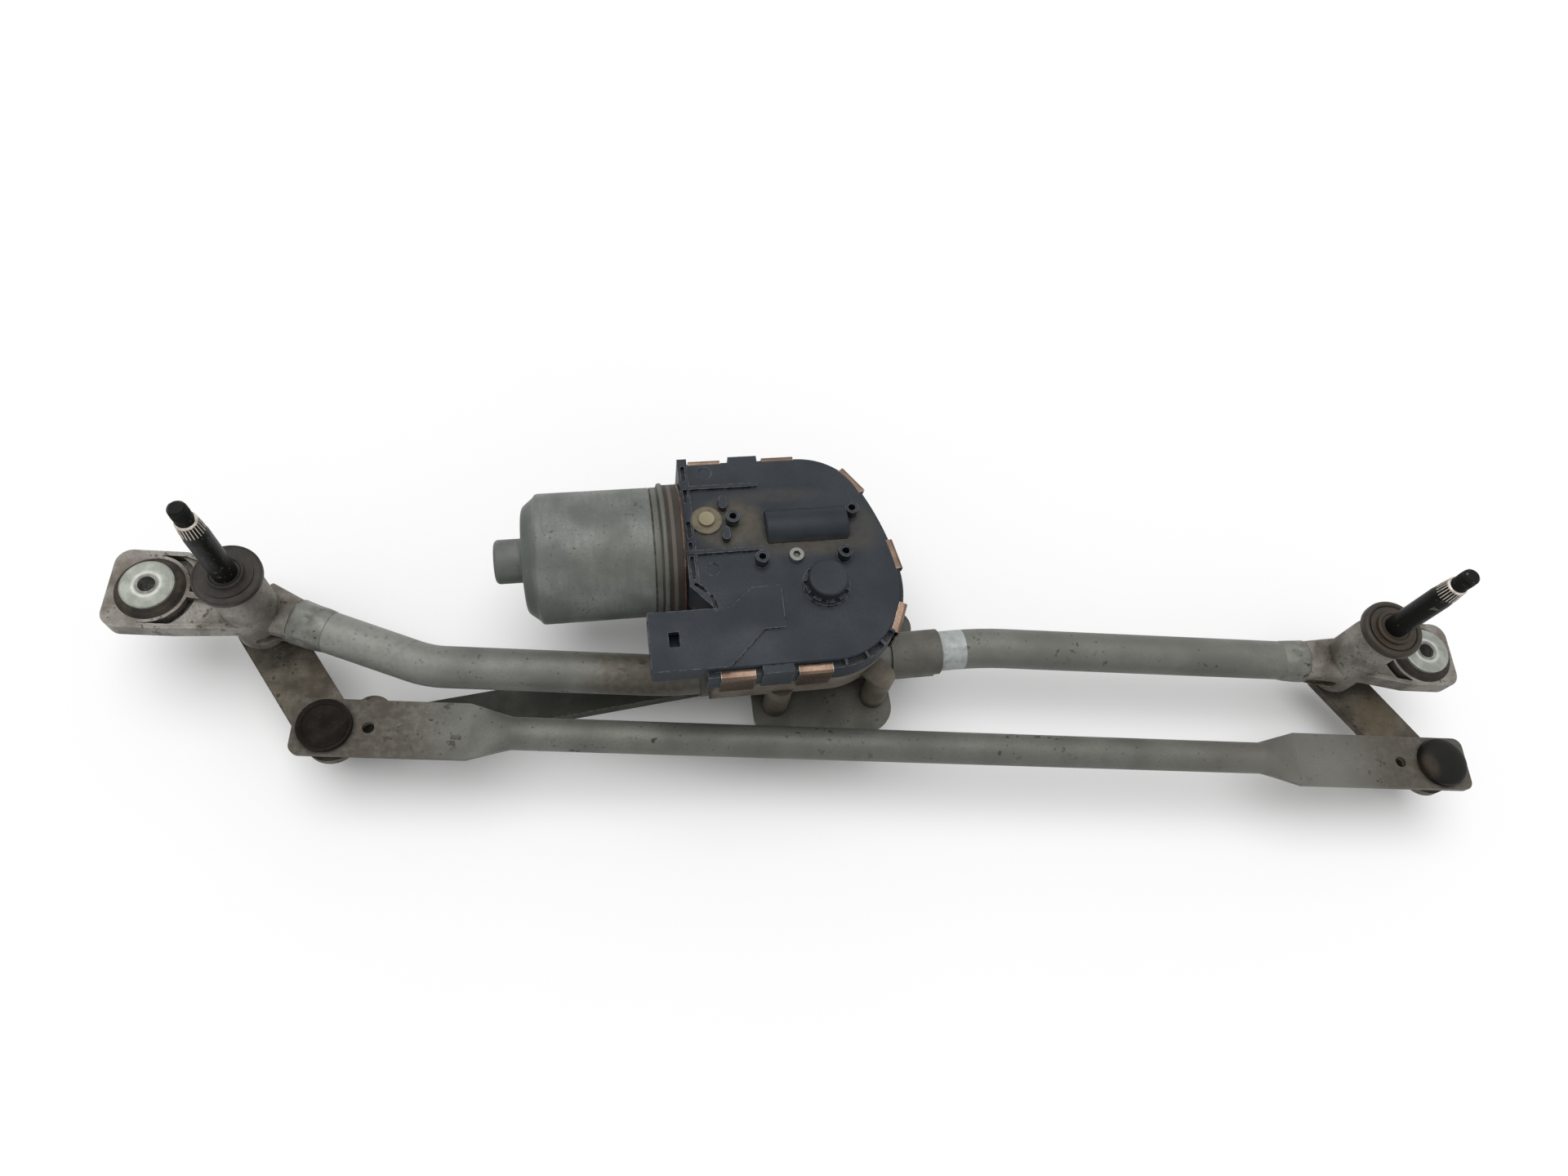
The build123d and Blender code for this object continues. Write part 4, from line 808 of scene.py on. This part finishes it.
    CORE_STEEL = WornFinish(
        "core_steel", (0.12, 0.12, 0.13), (0.07, 0.07, 0.08), roughness=0.5,
        metallic=0.6, grain_scale=1500.0, brushed=(0.0005, 0.05, 0.05),
    )
    CARBON = WornFinish(
        "carbon", (0.02, 0.02, 0.02), (0.012, 0.012, 0.012), roughness=0.6,
    )
    GEAR_PLASTIC = WornFinish(
        "gear_plastic", (0.55, 0.50, 0.38), (0.45, 0.40, 0.29), roughness=0.45,
    )
    BOARD_GREEN = WornFinish(
        "board_green", (0.015, 0.10, 0.045), (0.01, 0.07, 0.03), roughness=0.4,
    )


class Pattern(Graph):
    """A geometry node tree with named sizes."""

    def __init__(self, name: str, sizes: dict[str, float | int]) -> None:
        """Start a tree with its inputs.

        Args:
            name: The tree's name.
            sizes: Its inputs with their usual values, whole numbers for counts.
        """
        self.tree = bpy.data.node_groups.new(name, "GeometryNodeTree")
        super().__init__(self.tree)
        face = self.tree.interface
        face.new_socket("Geometry", in_out="OUTPUT", socket_type="NodeSocketGeometry")
        for key, value in sizes.items():
            kind = "NodeSocketInt" if isinstance(value, int) else "NodeSocketFloat"
            face.new_socket(key, in_out="INPUT", socket_type=kind).default_value = value
        face.new_socket("Finish", in_out="INPUT", socket_type="NodeSocketMaterial")
        self.given = self.add("NodeGroupInput")

    def size(self, name: str) -> Signal:
        """One of the tree's inputs."""
        return Signal(self, self.given.outputs[name])

    def vector(self, x: object = 0.0, y: object = 0.0, z: object = 0.0) -> Signal:
        """A vector of three values or signals."""
        return self.node("ShaderNodeCombineXYZ", {}, {0: x, 1: y, 2: z})

    def close(self, geometry: Signal) -> None:
        """Realize the instances, set the finish and end the tree.

        Args:
            geometry: What the tree makes.
        """
        real = self.node("GeometryNodeRealizeInstances", {}, {0: geometry})
        dressed = self.node(
            "GeometryNodeSetMaterial", {}, {"Geometry": real, "Material": self.size("Finish")}
        )
        self.add("NodeGroupOutput", {}, {0: dressed})


def round_section(radius: float, section: float, steps: int = 12) -> Profile:
    """The closed profile of a round lip.

    Args:
        radius: The lip's radius to its middle.
        section: Half its thickness.
        steps: Points round the section.

    Returns:
        Distances along the axis and radii.
    """
    angles = [2 * math.pi * step / steps for step in range(steps)]
    return [(section * math.sin(a), radius + section * math.cos(a)) for a in angles]


def knurl_pattern() -> Pattern:
    """Ridges side by side round a cone, along its slope.

    Returns:
        The tree.
    """
    made = Pattern(
        "knurl",
        {
            "Ridges": 44,
            "Low Radius": 0.0055,
            "High Radius": 0.0048,
            "High": 0.008,
            "Width": 0.0004,
        },
    )
    line = made.node(
        "GeometryNodeCurvePrimitiveLine",
        {},
        {
            "Start": made.vector(made.size("Low Radius")),
            "End": made.vector(made.size("High Radius"), 0.0, made.size("High")),
        },
    )
    section = made.node(
        "GeometryNodeCurvePrimitiveCircle", {}, {"Resolution": 5, "Radius": made.size("Width")}
    )
    ridge = made.node(
        "GeometryNodeCurveToMesh", {}, {"Curve": line, "Profile Curve": section, "Fill Caps": True}
    )
    points = made.node(
        "GeometryNodeMeshLine", {}, {"Count": made.size("Ridges"), "Offset": (0.0, 0.0, 0.0)}
    )
    turn = made.node("GeometryNodeInputIndex") * (2 * math.pi) / made.size("Ridges")
    ridges = made.node(
        "GeometryNodeInstanceOnPoints",
        {},
        {"Points": points, "Instance": ridge, "Rotation": made.vector(0.0, 0.0, turn)},
    )
    made.close(ridges)
    return made


def thread_pattern() -> Pattern:
    """A screw thread's ridge wound up a cylinder.

    Returns:
        The tree.
    """
    made = Pattern(
        "thread", {"Radius": 0.004, "Pitch": 0.00125, "Turns": 7.0, "Ridge": 0.00045}
    )
    helix = made.node(
        "GeometryNodeCurveSpiral",
        {},
        {
            "Resolution": 36,
            "Rotations": made.size("Turns"),
            "Start Radius": made.size("Radius"),
            "End Radius": made.size("Radius"),
            "Height": made.size("Turns") * made.size("Pitch"),
        },
    )
    section = made.node(
        "GeometryNodeCurvePrimitiveCircle", {}, {"Resolution": 4, "Radius": made.size("Ridge")}
    )
    ridge = made.node(
        "GeometryNodeCurveToMesh", {}, {"Curve": helix, "Profile Curve": section, "Fill Caps": True}
    )
    made.close(ridge)
    return made


@dataclass
class Dresser:
    """Gives nodes and new pieces their finishes, each material made once."""

    nodes: dict[str, bpy.types.Object]
    made: dict[Finish, bpy.types.Material] = field(default_factory=dict)

    def material(self, finish: Finish) -> bpy.types.Material:
        """The material of a finish, made at its first use.

        Args:
            finish: The finish.

        Returns:
            Its material.
        """
        if finish not in self.made:
            self.made[finish] = finish.value.material()
        return self.made[finish]

    def dress(self, finish: Finish, *names: str) -> None:
        """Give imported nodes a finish.

        Args:
            finish: The finish.
            names: The nodes.
        """
        for name in names:
            data = self.nodes[name].data
            data.materials.clear()
            data.materials.append(self.material(finish))
            LOG.info("%s has finish %s", name, finish.name.lower())

    def _keep(self, piece: bpy.types.Object, body: str) -> None:
        """Let a new piece ride on its body and report it.

        Args:
            piece: The piece.
            body: The body that it rides on.
        """
        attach(piece, body)
        LOG.info("%s is made on %s, %d faces", piece.name, body, len(piece.data.polygons))

    def grow(
        self,
        name: str,
        pattern: Pattern,
        sizes: dict[str, float | int],
        place: Point,
        finish: Finish,
        body: str,
        slot: str,
    ) -> None:
        """Make a piece from a pattern, as a plain mesh at its place.

        Args:
            name: The piece's name.
            pattern: The geometry node tree.
            sizes: Values of its named inputs.
            place: Where its origin goes.
            finish: Its finish.
            body: The body that it rides on.
            slot: The record's material slot, not used.
        """
        piece = bpy.data.objects.new(name, bpy.data.meshes.new(name))
        bpy.context.scene.collection.objects.link(piece)
        modifier = piece.modifiers.new("pattern", "NODES")
        modifier.node_group = pattern.tree
        given = {**sizes, "Finish": self.material(finish)}
        for item in pattern.tree.interface.items_tree:
            if item.in_out == "INPUT" and item.name in given:
                modifier[item.identifier] = given[item.name]
        ready = piece.evaluated_get(bpy.context.evaluated_depsgraph_get())
        mesh = bpy.data.meshes.new_from_object(ready)
        piece.modifiers.clear()
        mesh.transform(Matrix.Translation(place))
        piece.data = mesh
        mesh.name = name
        self._keep(piece, body)

    def turn_ring(
        self,
        name: str,
        centre: Point,
        axis: Point,
        profile: Profile,
        finish: Finish,
        body: str,
        slot: str,
        dent: Callable[[float, float], float] | None = None,
        around: int = 72,
    ) -> None:
        """Make a ring by turning a closed profile round an axis.

        Args:
            name: The piece's name.
            centre: A point of the axis.
            axis: The axis' direction.
            profile: Distances along the axis and radii, in metres, in order round the section.
            finish: Its finish.
            body: The body that it rides on.
            slot: The record's material slot, not used.
            dent: How much the radius shrinks at a distance along and an angle.
            around: Steps round the axis.
        """
        frame = Vector(axis).to_track_quat("Z", "Y").to_matrix().to_4x4()
        frame = Matrix.Translation(centre) @ frame
        shape = bmesh.new()
        rings = []
        for step in range(around):
            angle = 2 * math.pi * step / around
            ring = []
            for along, radius in profile:
                r = radius - (dent(along, angle) if dent else 0.0)
                corner = Vector((r * math.cos(angle), r * math.sin(angle), along))
                ring.append(shape.verts.new(frame @ corner))
            rings.append(ring)
        count = len(profile)
        for step in range(around):
            here, after = rings[step], rings[(step + 1) % around]
            for i in range(count):
                k = (i + 1) % count
                shape.faces.new((here[i], here[k], after[k], after[i])).smooth = True
        bmesh.ops.remove_doubles(shape, verts=shape.verts, dist=MERGE_DISTANCE)
        bmesh.ops.recalc_face_normals(shape, faces=shape.faces)
        mesh = bpy.data.meshes.new(name)
        shape.to_mesh(mesh)
        shape.free()
        mesh.materials.append(self.material(finish))
        piece = bpy.data.objects.new(name, mesh)
        bpy.context.scene.collection.objects.link(piece)
        self._keep(piece, body)


@dataclass
class TubeFrame:
    """The frame tube with its pivot housings, mounts and carrier plate, sized in metres."""

    dresser: Dresser
    tube_radius: float = 0.011
    sleeve_wall: float = 0.0011
    left_length: float = 0.019
    right_length: float = 0.015
    sleeve_inset: float = 0.0004
    sleeve_steps: int = 24
    sleeve_around: int = 96
    crimps: int = 5
    crimp_shift: float = 0.35
    crimp_middle: float = 0.0075
    crimp_length: float = 0.0045
    crimp_angle: float = 0.26
    crimp_depth: float = 0.0013
    left_end: Point = (0.0686, -0.0076, -0.003)
    left_way: Point = (0.9522, -0.3055, 0.0)
    right_end: Point = (0.6236, -0.0061, -0.003)
    right_way: Point = (-1.0, -0.0, 0.0)

    def dress(self) -> None:
        """Give the frame's pieces their finishes."""
        put = self.dresser.dress
        put(Finish.ZINC_TUBE, "frame_tube")
        put(Finish.PLATE_STEEL, "carrier_plate")
        put(Finish.CASTING, "left_pivot_housing", "right_pivot_housing")
        put(Finish.RUBBER, "left_grommet", "right_grommet", "rear_peg_rubber")
        put(Finish.PALE_ZINC, "left_mount_sleeve", "right_mount_sleeve", "rear_peg")
        put(Finish.SCREW_ZINC, "motor_bolts")
        put(Finish.BRONZE, "left_lower_bush", "right_lower_bush")
        put(Finish.BRONZE, "left_upper_bush", "right_upper_bush")

    def crimp(self, along: float, angle: float) -> float:
        """How deep the crimping tool pressed a sleeve at a place.

        Args:
            along: Distance along the sleeve.
            angle: Angle round it.

        Returns:
            The depth in metres.
        """
        depth = 0.0
        beside = (along - self.crimp_middle) / self.crimp_length
        for crimp in range(self.crimps):
            middle = (crimp + self.crimp_shift) * 2 * math.pi / self.crimps
            turned = math.remainder(angle - middle, 2 * math.pi) / self.crimp_angle
            depth += self.crimp_depth * math.exp(-(turned**2) - beside**2)
        return depth

    def add_sleeves(self) -> None:
        """Add the crimped sleeve at each end of the tube."""
        inner = self.tube_radius - self.sleeve_inset
        for side, end, way, length in (
            ("left", self.left_end, self.left_way, self.left_length),
            ("right", self.right_end, self.right_way, self.right_length),
        ):
            profile = [(0.0, inner), (0.0, self.tube_radius + self.sleeve_wall / 2)]
            for step in range(1, self.sleeve_steps + 1):
                share = step / self.sleeve_steps
                rise = self.sleeve_wall * (1 - share**3)
                profile.append((length * share, self.tube_radius + rise))
            profile.append((length, inner))
            self.dresser.turn_ring(
                f"{side}_tube_sleeve", end, way, profile, Finish.SLEEVE_ZINC,
                "frame", "zinc_tube", self.crimp, self.sleeve_around,
            )

    def build(self) -> None:
        """Dress the frame and add its fine pieces."""
        self.dress()
        self.add_sleeves()


@dataclass
class Linkage:
    """Spindles, levers, rods, crank and ball joints, sized in metres.

    Attributes:
        cone_low: The height and radius at the foot of a spindle's cone, and cone_high at its top.
        left_lips: Radius, half thickness and height of each lip, and right_lips on the right.
        cap_ring: Radius and half thickness of the ring on the left socket's cap.
    """

    dresser: Dresser
    knurls: int = 22
    knurl_low: float = 0.0905
    knurl_high: float = 0.0982
    knurl_width: float = 0.00026
    knurl_lift: float = 0.00005
    cone_low: tuple[float, float] = (0.0850, 0.0060)
    cone_high: tuple[float, float] = (0.0985, 0.0047)
    thread_start: float = 0.0991
    thread_pitch: float = 0.00125
    thread_turns: float = 7.6
    thread_radius: float = 0.00385
    thread_ridge: float = 0.0005
    ring_bore: float = 0.0036
    ring_mouth: float = 0.0041
    ring_lift: float = 0.0003
    ring_foot: float = 0.0003
    ring_side: float = 0.0002
    ring_taper: float = 0.00005
    ring_height: float = 0.0007
    lip_around: int = 84
    left_lips: tuple[Point, ...] = ((0.0158, 0.0006, 0.0449), (0.0078, 0.0009, 0.0478))
    right_lips: tuple[Point, ...] = ((0.0146, 0.0017, 0.0454), (0.0084, 0.0013, 0.0474))
    cap_top: float = 0.0005
    cap_ring: tuple[float, float] = (0.0112, 0.0007)
    dome_radius: float = 0.0135
    dome_height: float = 0.0036
    dome_foot: float = 0.0006
    dome_fullness: float = 0.75
    dome_steps: int = 10

    def dress(self) -> None:
        """Give the linkage its finishes."""
        put = self.dresser.dress
        put(Finish.SPINDLE_STEEL, "left_spindle", "right_spindle")
        put(Finish.SEAL_PLASTIC, "left_seal_disc", "right_seal_disc")
        put(Finish.LEVER_STEEL, "left_lever", "right_lever")
        put(Finish.DRIVE_STEEL, "drive_rod", "crank_arm")
        put(Finish.ROD_ZINC, "coupling_rod")
        put(Finish.DUSTY_CAP, "left_coupling_socket")
        put(Finish.CAP_PLASTIC, "right_coupling_socket", "drive_socket", "crank_socket")
        put(Finish.BRIGHT_STEEL, "left_coupling_ball", "right_coupling_ball", "drive_ball")
        put(Finish.BRIGHT_STEEL, "crank_ball", "output_shaft")
        put(Finish.SCREW_ZINC, "crank_nut")

    def cone_radius(self, height: float) -> float:
        """The spindle's radius at a height on its cone."""
        (low, wide), (high, narrow) = self.cone_low, self.cone_high
        return wide + (narrow - wide) * (height - low) / (high - low)

    def ring_section(self) -> Profile:
        """The section of the bevelled ring that ends a knurl.

        Returns:
            Heights above the knurl's top and radii.
        """
        edge = self.cone_radius(self.knurl_high) + self.ring_lift
        return [
            (-self.ring_foot, self.ring_bore),
            (-self.ring_foot, edge),
            (self.ring_side, edge - self.ring_taper),
            (self.ring_height, self.ring_mouth),
            (self.ring_height, self.ring_bore),
        ]

    def cut_spindles(self) -> None:
        """Add each spindle's knurl, its thread and the ring between them."""
        knurl, thread = knurl_pattern(), thread_pattern()
        knurl_sizes = {
            "Ridges": self.knurls,
            "Low Radius": self.cone_radius(self.knurl_low) + self.knurl_lift,
            "High Radius": self.cone_radius(self.knurl_high) + self.knurl_lift,
            "High": self.knurl_high - self.knurl_low,
            "Width": self.knurl_width,
        }
        thread_sizes = {
            "Radius": self.thread_radius,
            "Pitch": self.thread_pitch,
            "Turns": self.thread_turns,
            "Ridge": self.thread_ridge,
        }
        for side, place in (("left", LEFT_SPINDLE), ("right", RIGHT_SPINDLE)):
            seat = (f"{side}_wiper", "spindle_steel")
            self.dresser.grow(
                f"{side}_knurl", knurl, knurl_sizes, (*place, self.knurl_low),
                Finish.KNURL_STEEL, *seat,
            )
            self.dresser.grow(
                f"{side}_thread", thread, thread_sizes, (*place, self.thread_start),
                Finish.SPINDLE_STEEL, *seat,
            )
            self.dresser.turn_ring(
                f"{side}_knurl_ring", (*place, self.knurl_high), UPWARD, self.ring_section(),
                Finish.KNURL_STEEL, *seat,
            )

    def add_seal_lips(self) -> None:
        """Add the round lips on the seal discs, thicker on the right one."""
        for side, place, lips in (
            ("left", LEFT_SPINDLE, self.left_lips),
            ("right", RIGHT_SPINDLE, self.right_lips),
        ):
            for count, (radius, section, height) in enumerate(lips, 1):
                self.dresser.turn_ring(
                    f"{side}_seal_lip_{count}", (*place, height), UPWARD,
                    round_section(radius, section), Finish.SEAL_PLASTIC,
                    f"{side}_wiper", "cap_plastic", None, self.lip_around,
                )

    def cap_sockets(self) -> None:
        """Add the ring on the left socket's cap and the dome on the right one."""
        self.dresser.turn_ring(
            "left_socket_ring", (*LEFT_BALL, self.cap_top), UPWARD,
            round_section(*self.cap_ring), Finish.DUSTY_CAP, "coupling_link", "cap_plastic",
        )
        dome = [(-self.dome_foot, 0.0), (-self.dome_foot, self.dome_radius)]
        for step in range(self.dome_steps):
            angle = math.pi / 2 * step / self.dome_steps
            radius = self.dome_radius * math.cos(angle) ** self.dome_fullness
            dome.append((self.dome_height * math.sin(angle), radius))
        dome.append((self.dome_height, 0.0))
        self.dresser.turn_ring(
            "right_socket_dome", (*RIGHT_BALL, self.cap_top), UPWARD,
            dome, Finish.CAP_PLASTIC, "coupling_link", "cap_plastic",
        )

    def build(self) -> None:
        """Dress the linkage and add its fine pieces."""
        self.dress()
        self.cut_spindles()
        self.add_seal_lips()
        self.cap_sockets()


@dataclass
class GearMotor:
    """The motor, its gearbox, its electronics cover and what they hold, sized in metres.

    Attributes:
        seal_ring_at: The seal ring's centre in millimetres, as on_motor takes it.
    """

    dresser: Dresser
    seal_ring_radius: float = 0.0352
    seal_ring_section: float = 0.0005
    seal_ring_crown: float = 0.0003
    seal_ring_around: int = 96
    seal_ring_at: Point = (-69.7, 37.0, 46.0)

    def dress(self) -> None:
        """Give the motor's pieces their finishes."""
        put = self.dresser.dress
        put(Finish.CAN_STEEL, "motor_can")
        put(Finish.GEARBOX_CASTING, "gear_housing")
        put(Finish.COVER_PLASTIC, "electronics_cover", "round_cap")
        put(Finish.CAP_PLASTIC, "brush_holder")
        put(Finish.CLIP_STEEL, "cover_clips")
        put(Finish.SCREW_ZINC, "cover_screw", "capacitor")
        put(Finish.PIN_BRASS, "contact_pin", "connector_pins")
        put(Finish.BRONZE, "output_bush", "rear_bearing", "front_bearing")
        put(Finish.FERRITE, "magnets")
        put(Finish.CARBON, "brushes")
        put(Finish.BOARD_GREEN, "circuit_board")
        put(Finish.BRIGHT_STEEL, "armature_shaft", "worm")
        put(Finish.CORE_STEEL, "armature_core")
        put(Finish.COPPER, "windings", "commutator")
        put(Finish.GEAR_PLASTIC, "worm_wheel")

    def add_seal_ring(self) -> None:
        """Add the thin ring that shows between motor and cover."""
        r, s = self.seal_ring_radius, self.seal_ring_section
        crown = (0.0, r + self.seal_ring_crown)
        profile = [(-s, r - 2 * s), (-s, r), crown, (s, r), (s, r - 2 * s)]
        axis = (math.cos(MOTOR_TURN), math.sin(MOTOR_TURN), 0.0)
        self.dresser.turn_ring(
            "motor_seal_ring", on_motor(*self.seal_ring_at), axis, profile,
            Finish.COPPER_RING, "frame", "copper", None, self.seal_ring_around,
        )

    def build(self) -> None:
        """Dress the motor and add its fine pieces."""
        self.dress()
        self.add_seal_ring()


class Sky(Graph):
    """The world's node tree, a white that is brighter to the eye than as a light."""

    def __init__(self, light_level: float, seen_level: float) -> None:
        """Make the world.

        Args:
            light_level: Its strength as a light.
            seen_level: Its strength to the camera, in gloss and through clear pieces.
        """
        self.world = bpy.data.worlds.new("studio")
        self.world.use_nodes = True
        super().__init__(self.world.node_tree)
        rays = self.add("ShaderNodeLightPath")
        seen = Signal(self, rays.outputs["Is Camera Ray"])
        for ray in ("Is Glossy Ray", "Is Transmission Ray"):
            seen = seen.at_least(Signal(self, rays.outputs[ray]))
        strength = self.node(
            "ShaderNodeMapRange", {}, {"Value": seen, "To Min": light_level, "To Max": seen_level}
        )
        white = self.node(
            "ShaderNodeBackground", {}, {"Color": (1.0, 1.0, 1.0), "Strength": strength}
        )
        self.add("ShaderNodeOutputWorld", {}, {"Surface": white})


@dataclass
class Studio:
    """Pale floor, soft light and the camera at the photograph's angle."""

    eye: Point = (0.2605, -0.2453, 0.5438)
    right: Point = (0.99341, -0.00343, 0.11453)
    up: Point = (-0.04744, 0.89756, 0.43833)
    back: Point = (-0.10430, -0.44087, 0.89149)
    lens: float = 25.17
    sensor_width: float = 36.0
    clip_start: float = 0.01
    floor_half: float = 8.0
    floor_middle: float = 0.35
    floor_shade: Colour = (0.93, 0.93, 0.93)
    floor_base: Colour = (0.95, 0.95, 0.95)
    sky_level: float = 0.5
    seen_level: float = 1.0
    sun_level: float = 1.85
    sun_width: float = 1.0
    sun_from: Point = (-0.12, 0.10, 0.98)

    def place_camera(self) -> None:
        """Make the camera and set it as the scene's."""
        data = bpy.data.cameras.new("camera")
        data.lens = self.lens
        data.sensor_width = self.sensor_width
        data.clip_start = self.clip_start
        camera = bpy.data.objects.new("camera", data)
        axes = Matrix((self.right, self.up, self.back)).transposed()
        camera.matrix_world = Matrix.Translation(self.eye) @ axes.to_4x4()
        bpy.context.scene.collection.objects.link(camera)
        bpy.context.scene.camera = camera

    def lay_floor(self) -> None:
        """Lay the pale floor that the unit stands on."""
        mesh = bpy.data.meshes.new("floor")
        half = self.floor_half
        corners = [(-half, -half), (half, -half), (half, half), (-half, half)]
        mesh.from_pydata(
            [(self.floor_middle + x, y, FLOOR_Z) for x, y in corners], [], [(0, 1, 2, 3)]
        )
        floor = bpy.data.objects.new("floor", mesh)
        bpy.context.scene.collection.objects.link(floor)
        shader = Shader("floor")
        soft = shader.noise(6.0, 2.0)
        colour = shader.mix(soft, self.floor_shade, self.floor_base)
        roughness = soft * 0.05 + 0.9
        mesh.materials.append(shader.surface(colour, roughness, 0.0, 0.2, soft, 0.00005))

    def light(self) -> None:
        """Set the world and a broad soft sun."""
        bpy.context.scene.world = Sky(self.sky_level, self.seen_level).world
        data = bpy.data.lights.new("sun", "SUN")
        data.energy = self.sun_level
        data.angle = self.sun_width
        lamp = bpy.data.objects.new("sun", data)
        lamp.matrix_world = Vector(self.sun_from).to_track_quat("Z", "Y").to_matrix().to_4x4()
        bpy.context.scene.collection.objects.link(lamp)

    def build(self) -> None:
        """Set camera, floor, light and colour management."""
        self.place_camera()
        self.lay_floor()
        self.light()
        bpy.context.scene.view_settings.view_transform = "Standard"


def main() -> None:
    """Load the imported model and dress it."""
    logging.basicConfig(level=logging.INFO, format="%(message)s")
    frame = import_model()
    Studio().build()
    dresser = Dresser(frame["nodes"])
    for assembly in (TubeFrame(dresser), Linkage(dresser), GearMotor(dresser)):
        assembly.build()
        LOG.info("%s is ready", type(assembly).__name__)


if __name__ == "__main__":
    main()
